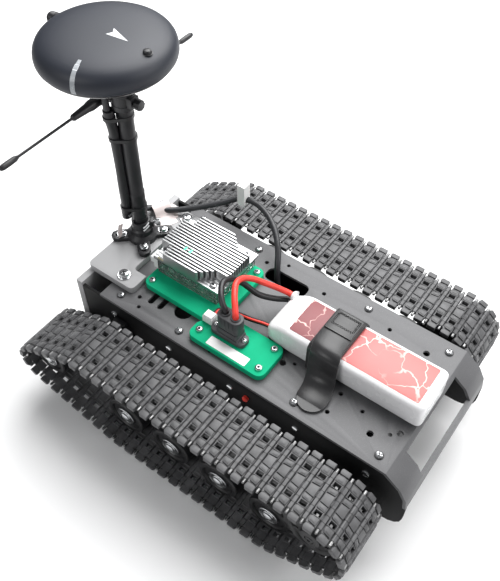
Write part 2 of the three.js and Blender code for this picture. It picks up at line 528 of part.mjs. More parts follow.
// free end of the strap: over the arch, down the battery's side and out along the deck
const tailTop = inner[2] + st.thick + GAP;
const tailOut = inner[0] - st.thick - GAP;
const tailLine = [[12, tailTop], [tailOut + 3.4, tailTop], [tailOut + 0.4, tailTop - 3], [tailOut - 1.6, 9],
  [tailOut - 6, 3.6], [tailOut - 12, 1.2], [-44.5, 0.6]];
const tailUpper = offsetLine(tailLine, -st.thick);
const tailBand = solid(prismY([...tailLine, ...[...tailUpper].reverse()], 40, 90));
const tailPlan = [[13, st.y0 + 1], [13, st.y1 - 1], [tailOut, st.y1 - 1.4], [-30, 67.8], [-39, 66.2], [-42.6, 63.4],
  [-44, 58.6], [-43, 53.6], [-40, 49.6], [-36, 48], [-30, 48.6], [tailOut, st.y0 + 0.4]];
add('strap_tail', tailBand.intersect(solid(prismZ([...tailPlan].reverse(), -1, 40))), WEBBING);

// frame that the strap is threaded through, on the battery's left side
const ringX = inner[1] + st.thick + GAP;
add('strap_ring', cut(box(ringX, ringX + 1.8, (st.y0 + st.y1) / 2 - RING.halfY, (st.y0 + st.y1) / 2 + RING.halfY,
  RING.zLow, RING.zHigh), box(ringX - 1, ringX + 3, (st.y0 + st.y1) / 2 - RING.halfY + 2,
  (st.y0 + st.y1) / 2 + RING.halfY - 2, RING.zLow + 3, RING.zHigh - 3)), BLACK_PLASTIC);

// ---------------------------------------------------------------- mast, clamp screws and head
const m = MAST;
const arms = [1, 3, 5, 7].map((i) => {
  const outline = [];
  for (let j = 0; j <= 4; j += 1) {
    const angle = -TURN / 4 + j / 4 * TURN / 2;
    outline.push([BASE.arm - BASE.armHalf + BASE.armHalf * Math.cos(angle), BASE.armHalf * Math.sin(angle)]);
  }
  const arm = cut(prismZ([[0, BASE.armHalf], [0, -BASE.armHalf], ...outline], BASE.z0, BASE.z0 + BASE.plate),
    prismZ(rounded(BASE.slotIn, BASE.slotOut, -BASE.slotHalf, BASE.slotHalf, 1.2, 1), BASE.z0 - 1,
      BASE.z0 + BASE.plate + 1));
  return arm.rotate([0, 0, i * 45]).translate([m.x, m.y, 0]);
});
const collar = latheZ([[0, BASE.z0], [BASE.collarR + 3, BASE.z0], [BASE.collarR + 3, BASE.z0 + BASE.plate],
  [BASE.collarR, BASE.z0 + BASE.plate + 2], [BASE.collarR, BASE.collarTop - 1], [BASE.neckR, BASE.collarTop],
  [BASE.neckR, BASE.top], [0, BASE.top]], m.x, m.y, 18);
add('mast_base', cut(union(collar, ...arms), cylinderZ(m.x, m.y, m.bore, m.z0 - GAP, BASE.top + 1, 16)),
  BLACK_PLASTIC);
add('mast_tube', cylinderZ(m.x, m.y, m.r, m.z0, m.z1, 16), RUBBER);

function thumbScrew(dims, angle, ribs) {
  const head = [];
  for (let i = 0; i < ribs * 2; i += 1) {
    const r = dims.headR * (i % 2 ? 0.86 : 1);
    head.push([r * Math.cos(i / ribs * TURN / 2), r * Math.sin(i / ribs * TURN / 2)]);
  }
  const body = union(latheX([[0, dims.from], [dims.shaft, dims.from], [dims.shaft, dims.to - 1],
    [0, dims.to - 1]], 0, 0, 12), prismX(head, dims.to - dims.headL, dims.to));
  return body.rotate([0, 0, angle * 360 / TURN]).translate([m.x, m.y, dims.z]);
}
add('mast_clamp_screw', thumbScrew(CLAMP_SCREW, CLAMP_SCREW.angle, 8), STEEL);
add('head_screw', thumbScrew(HEAD_SCREW, -TURN / 4, 8), BLACK_PLASTIC);
add('mast_head', cut(latheZ([[0, HEAD.z0], [HEAD.r, HEAD.z0], [HEAD.r, HEAD.z0 + 11], [HEAD.r - 0.8, HEAD.z0 + 12.5],
  [HEAD.r + 2, HEAD.z1], [0, HEAD.z1]], m.x, m.y, 18),
cylinderZ(m.x, m.y, m.bore, HEAD.z0 - 1, m.z1 + GAP, 16)), BLACK_PLASTIC);

// ---------------------------------------------------------------- satellite receiver
const u = PUCK;
const shellSides = 32;
add('receiver_base', latheZ([[0, u.z0], [u.r - 13, u.z0], [u.r - 5.4, u.z0 + 2.2], [u.r - 1.6, u.split - GAP],
  [0, u.split - GAP]], u.x, u.y, shellSides), BLACK_PLASTIC);
const cover = latheZ([[0, u.split], [u.r - 1.4, u.split], [u.r, u.split + 3.6], [u.r - 0.5, u.split + 7],
  [u.r - 2.6, u.split + 10], [u.r - 6.5, u.split + 12.4], [u.r - 14, u.z1 - 1.1], [u.r - 24, u.z1 - 0.3],
  [0, u.z1]], u.x, u.y, shellSides);
const pocket = cylinderZ(BUTTON.x, BUTTON.y, BUTTON.pocket, BUTTON.floor, u.z1 + 2, 12);
const lightSlot = box(LIGHT.rIn, LIGHT.rOut + 2, -LIGHT.half - GAP, LIGHT.half + GAP, u.split + 1.2, LIGHT.zTop);
lightSlot.rotateZ(LIGHT.angle);
lightSlot.translate(u.x, u.y, 0);
const glandSeat = latheX([[0, GLAND.from - 0.4], [GLAND.seat, GLAND.from - 0.4], [GLAND.seat, GLAND.to + 2],
  [0, GLAND.to + 2]], 0, 0, 14);
glandSeat.rotateZ(GLAND.angle);
glandSeat.translate(u.x, u.y, GLAND.z);
add('receiver_cover', cut(cover, pocket, lightSlot, glandSeat), PUCK_BLUE);
const lightBody = solid(latheZ([[0, u.split + 1.5], [u.r - 0.4, u.split + 1.5], [u.r + 0.1, u.split + 3.6],
  [u.r - 0.4, u.split + 7], [u.r - 2.5, u.split + 10], [u.r - 5.6, LIGHT.zTop - GAP], [0, LIGHT.zTop - GAP]],
0, 0, shellSides));
const lightBox = box(LIGHT.rIn + GAP, LIGHT.rOut + 2, -LIGHT.half, LIGHT.half, u.split, LIGHT.zTop);
add('status_light', lightBody.intersect(solid(lightBox)).rotate([0, 0, LIGHT.angle * 360 / TURN])
  .translate([u.x, u.y, 0]), LAMP);
const gland = latheX([[0, GLAND.from], [GLAND.r, GLAND.from], [GLAND.r, GLAND.to - 1.5], [GLAND.r - 1.2, GLAND.to],
  [0, GLAND.to]], 0, 0, 14);
gland.rotateZ(GLAND.angle);
gland.translate(u.x, u.y, GLAND.z);
add('cable_gland', gland, BLACK_PLASTIC);
add('select_button', cylinderZ(BUTTON.x, BUTTON.y, BUTTON.r, BUTTON.floor + BUTTON.travel + GAP,
  u.z1 - 0.6 + BUTTON.out, 12), BLACK_PLASTIC);

const a = AERIAL;
const rodProfile = [[0, -a.half], [a.tip * 0.5, -a.half], [a.tip, -a.half + 1.5], [a.tip, -a.half + a.tipL - 2],
  [a.rod, -a.half + a.tipL], [a.rod, -a.sleeveAt], [a.sleeveEnd, -a.sleeveAt], [a.sleeve, -a.sleeveAt / 2]];
const mirrored = rodProfile.map(([r, t]) => [r, -t]).reverse();
const rod = latheX([...rodProfile, ...mirrored], 0, 0, 10);
rod.translate(a.x, a.y, a.z);
add('dipole_aerial', union(rod, box(m.x + 1 - a.clipHalf, m.x + 1 + a.clipHalf, a.clipFrom, a.y, a.z - 2.6, a.z + 2.6)),
  BLACK_PLASTIC);

// ---------------------------------------------------------------- wires
add('power_wire_red', cord([[13.2, 105, 14.2], [13, 107, 14.6], [9.8, 112.8, 18.2], [4.6, 119, 23.5], [-0.6, 125, 28.5],
  [-6.5, 128.6, 32], [-13, 128.4, 34], [-20, 124.4, 33.5], [-26, 119.6, 31], [g.x, g.y - g.pins, 28],
  [g.x, g.y - g.pins, g.z1 - g.holeDeep + GAP]], 1.9, 20), RED);
add('power_wire_black', cord([[12.4, 105, 9], [12.2, 107, 9.1], [7, 112.6, 11], [0, 121, 16], [-4, 130, 24], [-9, 134.6, 30],
  [-16.5, 135.4, 33.5], [-24, 131.4, 33], [-28.2, 127, 30.4], [g.x, g.y + g.pins, 27.4],
  [g.x, g.y + g.pins, g.z1 - g.holeDeep + GAP]],
1.9, 20), RUBBER);
add('balance_lead', cord([[-11, 105, 9], [-11.6, 108, 9.2], [-14.2, 117, 9.6], [-15.4, 125, 9.4], [-17, 132.6, 9], [-20, w.y - 0.8, 8.6],
  [w.x + w.halfX + GAP, w.y - 0.6, 8.4]], 1.7, 12), RUBBER);
add('receiver_cable', cord([[m.x - 9.4, m.y + 7.8, u.z0 - GAP], [m.x - 9, m.y + 7.4, 132], [m.x - 8.2, m.y + 5.8, 120],
  [m.x - 7.8, m.y + 5.4, 106], [m.x - 6.2, m.y + 5.4, 92], [m.x - 6, m.y + 5.4, 60], [m.x - 6, m.y + 5.6, 34], [m.x - 3, m.y + 10.4, 19.5],
  [10, 231.4, 14.4], [21.6, 229.4, 10.2],
  [29.5, 217.6, 8.6], [41.5, 201.5, 11.5], [52, 189, 15], [60.2, 179.6, 18], [61, 167.5, 19.6], [57, 155, 19.4],
  [49.6, 143.4, 17], [40.4, 134.4, 12], [33.2, 129.6, 5], [30.6, 127.6, -4], [29, 125, -14]], 2.1, 52), RUBBER);
const flagX = 60.4;
const flagY = 177.4;
add('cable_flag', cut(box(flagX - 3.3, flagX + 3.3, flagY - 3, flagY + 3, 14.8, 32),
  cord([[52, 189, 15], [60.2, 179.6, 18], [61, 167.5, 19.6]], 2.45, 8, 8)), WHITE);

// ---------------------------------------------------------------- stand the group on the ground
const extent = new THREE.Box3().setFromObject(group);
const shift = new THREE.Vector3(
  -(extent.min.x + extent.max.x) / 2, -(extent.min.y + extent.max.y) / 2, -extent.min.z);
for (const mesh of group.children) mesh.position.copy(shift);

export default group;
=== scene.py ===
"""The finished look of a small tracked robot chassis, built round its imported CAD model.

Lengths are millimetres in the deck's own axes: x across from the centre line, y back from the nose
fold and z up from the deck's top face. spot() turns them into the row frame's metres.
"""

import json
import math

import bmesh
import bpy
from mathutils import Matrix, Vector
from mathutils.geometry import convex_hull_2d

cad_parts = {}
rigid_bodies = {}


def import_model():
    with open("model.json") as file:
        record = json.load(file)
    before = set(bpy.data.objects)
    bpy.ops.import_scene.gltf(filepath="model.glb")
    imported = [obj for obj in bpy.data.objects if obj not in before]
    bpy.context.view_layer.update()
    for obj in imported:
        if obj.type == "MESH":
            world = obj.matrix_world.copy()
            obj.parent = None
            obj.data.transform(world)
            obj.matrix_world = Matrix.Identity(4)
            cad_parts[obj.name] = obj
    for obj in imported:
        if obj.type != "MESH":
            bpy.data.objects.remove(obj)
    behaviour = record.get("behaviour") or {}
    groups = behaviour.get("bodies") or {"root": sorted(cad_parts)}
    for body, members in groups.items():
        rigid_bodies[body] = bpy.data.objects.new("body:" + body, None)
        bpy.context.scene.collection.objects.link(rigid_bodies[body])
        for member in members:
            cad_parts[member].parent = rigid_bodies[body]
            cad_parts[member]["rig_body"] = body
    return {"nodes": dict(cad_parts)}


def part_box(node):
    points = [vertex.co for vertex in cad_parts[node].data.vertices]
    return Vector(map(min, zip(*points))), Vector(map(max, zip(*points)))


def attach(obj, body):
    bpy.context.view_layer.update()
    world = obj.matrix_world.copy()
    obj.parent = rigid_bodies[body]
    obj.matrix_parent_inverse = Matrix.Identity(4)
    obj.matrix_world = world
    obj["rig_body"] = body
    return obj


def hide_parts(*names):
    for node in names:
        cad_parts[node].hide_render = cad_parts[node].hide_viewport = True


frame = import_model()
bpy.context.view_layer.update()

MM = 0.001
TURN = math.tau
DECK_LENGTH = 211                # from the nose fold to the deck's rear edge
deck_low, deck_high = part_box("deck_plate")
ORIGIN = Vector((0, deck_high.y - DECK_LENGTH * MM, deck_high.z))
SIDES = (("right", -1), ("left", 1))


def spot(x, y, z):
    """A place given in deck millimetres, as a point of the row frame in metres."""
    return ORIGIN + Vector((x, y, z)) * MM


# ---------------------------------------------------------------- materials
def mix_node(tree, factor, dark, light):
    mix = tree.nodes.new("ShaderNodeMix")
    mix.data_type = "RGBA"
    tree.links.new(factor, mix.inputs["Factor"])
    for name, value in (("A", dark), ("B", light)):
        socket = next(s for s in mix.inputs if s.name == name and s.type == "RGBA")
        if isinstance(value, bpy.types.NodeSocket):
            tree.links.new(value, socket)
        else:
            socket.default_value = (*value, 1)
    return next(s for s in mix.outputs if s.type == "RGBA")


def ramp_node(tree, factor, low, high):
    """Maps low..high of a texture's value to 0..1."""
    node = tree.nodes.new("ShaderNodeMapRange")
    node.inputs["From Min"].default_value = low
    node.inputs["From Max"].default_value = high
    tree.links.new(factor, node.inputs["Value"])
    return node.outputs["Result"]


def noise_node(tree, place, scale, detail=3, stretch=None):
    if stretch:
        mapping = tree.nodes.new("ShaderNodeMapping")
        mapping.inputs["Scale"].default_value = stretch
        tree.links.new(place, mapping.inputs["Vector"])
        place = mapping.outputs["Vector"]
    node = tree.nodes.new("ShaderNodeTexNoise")
    node.inputs["Scale"].default_value = scale
    node.inputs["Detail"].default_value = detail
    tree.links.new(place, node.inputs["Vector"])
    return node.outputs["Fac"]


def bump_node(tree, shader, height, strength, depth_mm, before=None):
    bump = tree.nodes.new("ShaderNodeBump")
    bump.inputs["Strength"].default_value = strength
    bump.inputs["Distance"].default_value = depth_mm * MM
    tree.links.new(height, bump.inputs["Height"])
    if before:
        tree.links.new(before, bump.inputs["Normal"])
    tree.links.new(bump.outputs["Normal"], shader.inputs["Normal"])
    return bump.outputs["Normal"]


def material(name, colour, rough, metal=0.0, tint=0.18, blotch=45, grain=900, relief=0.25,
             depth=0.05, uneven=0.08, stretch=None, **sockets):
    """A surface whose colour drifts in soft blotches and whose grain shows in gloss and relief.

    blotch and grain are noise scales per metre, tint and uneven are how far colour and roughness
    move, and depth is the grain's height in millimetres."""
    made = bpy.data.materials.new(name)
    made.use_nodes = True
    tree = made.node_tree
    shader = tree.nodes["Principled BSDF"]
    place = tree.nodes.new("ShaderNodeTexCoord").outputs["Object"]
    drift = ramp_node(tree, noise_node(tree, place, blotch), 0.3, 0.7)
    dark = tuple(c * (1 - tint) for c in colour)
    light = tuple(min(1, c * (1 + tint)) for c in colour)
    tree.links.new(mix_node(tree, drift, dark, light), shader.inputs["Base Color"])
    fine = noise_node(tree, place, grain, 4, stretch)
    gloss = tree.nodes.new("ShaderNodeMapRange")
    gloss.inputs["To Min"].default_value = max(0, rough - uneven)
    gloss.inputs["To Max"].default_value = min(1, rough + uneven)
    tree.links.new(fine, gloss.inputs["Value"])
    tree.links.new(gloss.outputs["Result"], shader.inputs["Roughness"])
    shader.inputs["Metallic"].default_value = metal
    for socket, value in sockets.items():
        shader.inputs[socket.replace("_", " ")].default_value = value
    bump_node(tree, shader, fine, relief, depth)
    return made


def colour_input(made):
    """The shader of a material and what feeds its colour, to lay more on top."""
    tree = made.node_tree
    shader = tree.nodes["Principled BSDF"]
    return tree, shader, shader.inputs["Base Color"].links[0].from_socket


def texture_place(tree):
    return next(n for n in tree.nodes if n.type == "TEX_COORD").outputs["Object"]


def speckle(made, colour, scale, low, high):
    """Fine specks of another colour, such as the sparkle of powder coat."""
    tree, shader, below = colour_input(made)
    specks = ramp_node(tree, noise_node(tree, texture_place(tree), scale, 2), low, high)
    tree.links.new(mix_node(tree, specks, below, colour), shader.inputs["Base Color"])
    return made


def printed_layers(made, pitch_mm, strength):
    """The thin horizontal lines of a printed part on its upright faces."""
    tree = made.node_tree
    shader = tree.nodes["Principled BSDF"]
    wave = tree.nodes.new("ShaderNodeTexWave")
    wave.wave_type = "BANDS"
    wave.bands_direction = "Z"
    wave.inputs["Scale"].default_value = TURN / 20 / (pitch_mm * MM)
    wave.inputs["Distortion"].default_value = 0.6
    tree.links.new(texture_place(tree), wave.inputs["Vector"])
    before = shader.inputs["Normal"].links[0].from_socket
    bump_node(tree, shader, wave.outputs["Fac"], strength, 0.04, before)
    return made


def webbing(name, colour):
    """Glossy woven nylon: fine ribs along the strap and a hint of the cross threads."""
    made = material(name, colour, 0.36, grain=1500, relief=0.3, stretch=(1, 0.08, 1), tint=0.3)
    tree = made.node_tree
    shader = tree.nodes["Principled BSDF"]
    wave = tree.nodes.new("ShaderNodeTexWave")
    wave.bands_direction = "Y"
    wave.inputs["Scale"].default_value = 420
    wave.inputs["Distortion"].default_value = 1.2
    wave.inputs["Detail Scale"].default_value = 3
    tree.links.new(texture_place(tree), wave.inputs["Vector"])
    before = shader.inputs["Normal"].links[0].from_socket
    bump_node(tree, shader, wave.outputs["Fac"], 0.35, 0.06, before)
    shader.inputs["Sheen Weight"].default_value = 0.15
    return made


def label_print(name):
    """Printed film: deep red at the rear, salmon at the front, with thin pale forked streaks."""
    made = material(name, (0.2, 0.024, 0.03), 0.4, tint=0.12, blotch=30, Coat_Weight=0.1)
    tree, shader, below = colour_input(made)
    place = texture_place(tree)
    split = tree.nodes.new("ShaderNodeSeparateXYZ")
    tree.links.new(place, split.inputs["Vector"])
    front = ramp_node(tree, split.outputs["Y"], spot(0, 66, 0).y, spot(0, 40, 0).y)
    base = mix_node(tree, front, below, (0.66, 0.12, 0.11))
    streak = tree.nodes.new("ShaderNodeTexVoronoi")
    streak.feature = "DISTANCE_TO_EDGE"
    streak.inputs["Scale"].default_value = 62
    warp = tree.nodes.new("ShaderNodeVectorMath")
    warp.operation = "MULTIPLY_ADD"
    wobble = tree.nodes.new("ShaderNodeTexNoise")
    wobble.inputs["Scale"].default_value = 120
    tree.links.new(place, wobble.inputs["Vector"])
    tree.links.new(wobble.outputs["Color"], warp.inputs[0])
    warp.inputs[1].default_value = (0.012, 0.012, 0)
    tree.links.new(place, warp.inputs[2])
    tree.links.new(warp.outputs["Vector"], streak.inputs["Vector"])
    line = ramp_node(tree, streak.outputs["Distance"], 0.026, 0.007)
    patches = ramp_node(tree, noise_node(tree, place, 34), 0.46, 0.6)
    both = tree.nodes.new("ShaderNodeMath")
    both.operation = "MULTIPLY"
    tree.links.new(line, both.inputs[0])
    tree.links.new(patches, both.inputs[1])
    lit = mix_node(tree, both.outputs["Value"], base, (0.95, 0.62, 0.56))
    tree.links.new(lit, shader.inputs["Base Color"])
    return made


DECK_PAINT = speckle(material("deck_paint", (0.096, 0.096, 0.1), 0.5, tint=0.07, blotch=14,
                              grain=2600, relief=0.35, depth=0.05), (0.16, 0.16, 0.17), 3200, 0.62, 0.72)
BLACK_SHEET = material("black_sheet", (0.004, 0.004, 0.0045), 0.6, grain=2400, relief=0.3,
                       Specular_IOR_Level=0.2)
BRACKET_PRINT = printed_layers(material("bracket_print", (0.37, 0.37, 0.375), 0.6, tint=0.05, blotch=25,
                                        grain=1800, relief=0.25), 0.2, 0.35)
TRACK_PLASTIC = material("track_plastic", (0.08, 0.08, 0.083), 0.5, tint=0.3, blotch=160, grain=1400,
                         relief=0.25, uneven=0.12)
WHEEL_PLASTIC = material("wheel_plastic", (0.012, 0.012, 0.013), 0.45, grain=1200)
# Real black plastic, also used for painted shade: the ring round each deck screw's head and the connector's
# mouth.
BLACK_PLASTIC_AND_SHADE = material("black_plastic", (0.012, 0.012, 0.014), 0.42, grain=1500, relief=0.2)
STEEL = material("steel", (0.62, 0.63, 0.64), 0.24, 1.0, tint=0.06, grain=1800, relief=0.08)
PIN_STEEL = material("pin_steel", (0.26, 0.26, 0.26), 0.42, 1.0, tint=0.15, blotch=200, grain=1500)
# Dark steel for real parts, also used for painted shade in screw recesses and sprocket pockets.
DARK_STEEL_AND_SHADE = material("dark_steel_and_recess_shade", (0.05, 0.05, 0.052), 0.35, 0.9, grain=1600)
ALUMINIUM = material("aluminium", (0.44, 0.445, 0.45), 0.34, 1.0, tint=0.05, grain=1300, relief=0.12,
                     stretch=(1, 0.05, 1))
GREEN_PRINT = printed_layers(material("green_print", (0.004, 0.4, 0.2), 0.7, tint=0.08, blotch=60,
                                      grain=1600, relief=0.3,
                                      Specular_IOR_Level=0.15), 0.3, 0.4)
CHARCOAL = material("charcoal", (0.045, 0.046, 0.05), 0.5, grain=1700, relief=0.3)
WHITE_PLASTIC = material("white_plastic", (0.8, 0.8, 0.8), 0.42, tint=0.03, grain=1200, relief=0.1)
PAPER = material("paper_label", (0.86, 0.86, 0.85), 0.6, tint=0.03, grain=2500, relief=0.15)
WRAP = material("heat_shrink", (0.82, 0.82, 0.83), 0.27, tint=0.03, blotch=90, grain=160, relief=0.35,
                depth=0.25, Coat_Weight=0.2)
LABEL = label_print("battery_label")
STRAP_WEB = webbing("strap_webbing", (0.013, 0.013, 0.014))
THREAD = material("black_thread", (0.006, 0.006, 0.006), 0.75, grain=3000, relief=0.5)
SLEEVE = material("mast_sleeve", (0.009, 0.009, 0.011), 0.46, blotch=120, grain=700, relief=0.35,
                  depth=0.12)
PUCK_TOP = material("puck_cover", (0.013, 0.016, 0.025), 0.52, tint=0.06, blotch=30, grain=3400,
                    relief=0.35, depth=0.05)
# The receiver foot's own black, also used for the painted shade of the button's pocket.
PUCK_BASE_AND_SHADE = material("puck_base_and_shade", (0.008, 0.008, 0.01), 0.4, grain=2600, relief=0.25)
LAMP = material("lamp", (0.5, 0.53, 0.56), 0.25, tint=0.05, Transmission_Weight=0.3)
WHITE_PRINT = material("white_print", (0.75, 0.76, 0.78), 0.55, tint=0.03, grain=2600)
RED_WIRE = material("red_silicone", (0.78, 0.045, 0.03), 0.4, tint=0.08, blotch=140, grain=900,
                    relief=0.12)
BLACK_WIRE = material("black_silicone", (0.014, 0.014, 0.016), 0.4, tint=0.2, grain=900, relief=0.12)
CABLE = material("cable_jacket", (0.022, 0.023, 0.026), 0.42, tint=0.15, grain=1100, relief=0.15)
CIRCUIT = speckle(material("circuit_board", (0.012, 0.13, 0.07), 0.35, tint=0.3, blotch=260),
                  (0.35, 0.38, 0.3), 420, 0.6, 0.63)
CLEAR = material("clear_case", (0.86, 0.9, 0.89), 0.08, tint=0.02, grain=300, relief=0.1,
                 Transmission_Weight=0.92, IOR=1.38)
TAPE = material("tape", (0.86, 0.76, 0.74), 0.35, tint=0.08, blotch=160, grain=260, relief=0.5, depth=0.2,
                Transmission_Weight=0.15)
TIE = material("cable_tie", (0.014, 0.014, 0.015), 0.38, tint=0.1)
# Green painted reflection of the green boards, laid on the heatsink's top; not a lamp.
GREEN_REFLECTION_PAINT = material("painted_green_reflection", (0.05, 0.8, 0.4), 0.3, tint=0.05)
AMBER = material("amber_connector", (0.62, 0.58, 0.38), 0.35, tint=0.2, blotch=400)
FLOOR = material("floor", (0.9, 0.9, 0.9), 0.75, tint=0.01, blotch=3, grain=60, relief=0.02)


# ---------------------------------------------------------------- making shapes
def circle(r, sides, turned=0.0):
    return [(r * math.cos(TURN * i / sides + turned), r * math.sin(TURN * i / sides + turned))
            for i in range(sides)]


def rounded(x0, x1, y0, y1, r, steps=6):
    """A rectangle with round corners, anticlockwise."""
    points = []
    for quarter, (cx,
                  cy) in enumerate(((x1 - r, y1 - r), (x0 + r, y1 - r), (x0 + r, y0 + r),
                                    (x1 - r, y0 + r))):
        for i in range(steps + 1):
            angle = (quarter + i / steps) * TURN / 4
            points.append((cx + r * math.cos(angle), cy + r * math.sin(angle)))
    return points


def inset(outline, d):
    """A closed anticlockwise outline moved inward by d, mitred at its corners."""
    made = []
    for i, p in enumerate(outline):
        p = Vector(p)
        before = (p - Vector(outline[i - 1])).normalized()
        after = (Vector(outline[(i + 1) % len(outline)]) - p).normalized()
        n1, n2 = Vector((-before.y, before.x)), Vector((-after.y, after.x))
        made.append(tuple(p + (n1 + n2) * d / (1 + n1.dot(n2))))
    return made


def axes(origin, along, across=None):
    """The matrix that stands local z along a direction, with local x as near across as it can be."""
    z = Vector(along).normalized()
    x = Vector(across or ((0, 0, 1) if abs(z.z) < 0.9 else (1, 0, 0)))
    x = (x - z * x.dot(z)).normalized()
    y = z.cross(x)
    turned = Matrix((x, y, z)).transposed().to_4x4()
    return Matrix.Translation(Vector(origin)) @ turned


class Shape:
    """Closed bodies gathered into one mesh, in deck millimetres. slot is the index of a face's material."""

    def __init__(self):
        self.points, self.faces, self.slots = [], [], []

    def add(self, points, faces, slot=0, place=None):
        start = len(self.points)
        self.points += [place @ Vector(p) if place else Vector(p) for p in points]
        self.faces += [[start + i for i in face] for face in faces]
        self.slots += [slot] * len(faces)

    def loft(self, rings, slot=0, place=None):
        """Closed rings of equal length joined one to the next, with both ends closed."""
        n = len(rings[0])
        faces = []
        for k in range(len(rings) - 1):
            for i in range(n):
                j = (i + 1) % n
                faces.append([k * n + i, k * n + j, (k + 1) * n + j, (k + 1) * n + i])
        last = (len(rings) - 1) * n
        faces.append(list(range(n))[::-1])
        faces.append([last + i for i in range(n)])
        self.add([p for ring in rings for p in ring], faces, slot, place)

    def prism(self, outline, low, high, slot=0, place=None, chamfer=0.0, both=False):
        """An outline in local x and y, raised along z, its upper edge (or both edges) chamfered."""
        levels = [(0, low)]
        if both and chamfer:
            levels = [(chamfer, low), (0, low + chamfer)]
        if chamfer:
            levels += [(0, high - chamfer), (chamfer * 0.35, high - chamfer * 0.3), (chamfer, high)]
        else:
            levels.append((0, high))
        self.loft([[(*p, z) for p in (inset(outline, d) if d else outline)] for d, z in levels], slot,
                  place)

    def box(self, x, y, z, slot=0, place=None, chamfer=0.0):
        """A block from its spans along x, y and z."""
        outline = [(x[0], y[0]), (x[1], y[0]), (x[1], y[1]), (x[0], y[1])]
        self.prism(outline, z[0], z[1], slot, place, chamfer, both=bool(chamfer))

    def lathe(self, profile, place=None, sides=40, slot=0):
        """A profile of (radius, height) turned about local z. A radius of 0 closes to a point."""
        points, faces, rings = [], [], []
        for r, z in profile:
            if r < 1e-6:
                rings.append([len(points)])
                points.append((0, 0, z))
            else:
                rings.append(list(range(len(points), len(points) + sides)))
                points += [(x, y, z) for x, y in circle(r, sides)]
        for low, high in zip(rings, rings[1:]):
            for i in range(sides):
                j = (i + 1) % sides
                if len(low) == 1 and len(high) == 1:
                    break
                if len(low) == 1:
                    faces.append([low[0], high[j], high[i]])
                elif len(high) == 1:
                    faces.append([low[i], low[j], high[0]])
                else:
                    faces.append([low[i], low[j], high[j], high[i]])
        if len(rings[0]) > 1:
            faces.append(rings[0][::-1])
        if len(rings[-1]) > 1:
            faces.append(rings[-1])
        self.add(points, faces, slot, place)

    def tube(self, line, r, sides=10, slot=0, closed=False):
        """A round bar along a line of points; r may be a number or a function of 0..1 along it."""
        line = [Vector(p) for p in line]
        radius = r if callable(r) else (lambda t: r)
        rings, side = [], None
        for i, p in enumerate(line):
            ahead = line[(i + 1) % len(line)] if closed else line[min(i + 1, len(line) - 1)]
            back = line[i - 1] if closed or i else line[0]
            forward = (ahead - back).normalized()
            start = side or Vector((0.31, 0.22, 0.92))
            side = (start - forward * start.dot(forward)).normalized()
            other = forward.cross(side)
            here = radius(i / (len(line) - 1))
            rings.append([tuple(p + side * a + other * b) for a, b in circle(here, sides)])
        if not closed:
            self.loft(rings, slot)
            return
        n, m = sides, len(rings)
        shift = min(range(n), key=lambda k: (Vector(rings[0][k]) - Vector(rings[-1][0])).length)
        faces = []
        for k in range(m):
            step = shift if k == m - 1 else 0
            for i in range(n):
                j = (i + 1) % n
                nxt = (k + 1) % m
                faces.append([k * n + i, k * n + j, nxt * n + (j + step) % n, nxt * n + (i + step) % n])
        self.add([p for ring in rings for p in ring], faces, slot)

    def merge(self, other, place=None, slot_shift=0):
        start = len(self.points)
        self.points += [place @ p if place else p for p in other.points]
        self.faces += [[start + i for i in face] for face in other.faces]
        self.slots += [s + slot_shift for s in other.slots]

    def make(self, name, materials, body="chassis", sharp=34, stands_for=(), slot=None):
        mesh = bpy.data.meshes.new(name)
        mesh.from_pydata([spot(*p) for p in self.points], [], self.faces)
        for polygon, number in zip(mesh.polygons, self.slots):
            polygon.material_index = number
        return finish_piece(name, mesh, materials, body, sharp, stands_for)


def finish_piece(name, mesh, materials, body, sharp, stands_for=()):
    """Turns every face outward, smooths what is round, and puts the piece on its body."""
    work = bmesh.new()
    work.from_mesh(mesh)
    bmesh.ops.recalc_face_normals(work, faces=work.faces)
    work.to_mesh(mesh)
    work.free()
    mesh.shade_smooth()
    mesh.set_sharp_from_angle(angle=math.radians(sharp))
    for made in materials:
        mesh.materials.append(made)
    piece = bpy.data.objects.new(name, mesh)
    bpy.context.scene.collection.objects.link(piece)
    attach(piece, body)
    if stands_for:
        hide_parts(*stands_for)
    return piece


def dress(node, made):
    """A CAD node that stays as it is, with its own finish."""
    data = frame["nodes"][node].data
    data.materials.clear()
    data.materials.append(made)


def refine(node, made, edge, name=None, sharp=34):
    """Stands a copy of a CAD node in its place, with its seams welded and its edges rounded by edge mm."""
    source = frame["nodes"][node]
    work = bmesh.new()
    work.from_mesh(source.data)
    bmesh.ops.remove_doubles(work, verts=work.verts, dist=0.004 * MM)
    bmesh.ops.dissolve_limit(work, angle_limit=math.radians(1), verts=work.verts, edges=work.edges)
    hard = [e for e in work.edges if len(e.link_faces) == 2 and e.calc_face_angle() > math.radians(sharp)]
    bmesh.ops.bevel(work, geom=hard, offset=edge * MM, segments=2, profile=0.6, affect="EDGES",
                    clamp_overlap=True)
    mesh = bpy.data.meshes.new(node + "_fine")
    work.to_mesh(mesh)
    work.free()
    body = source["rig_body"]
    return finish_piece(name or node + "_finished", mesh, [made], body, sharp, (node,))


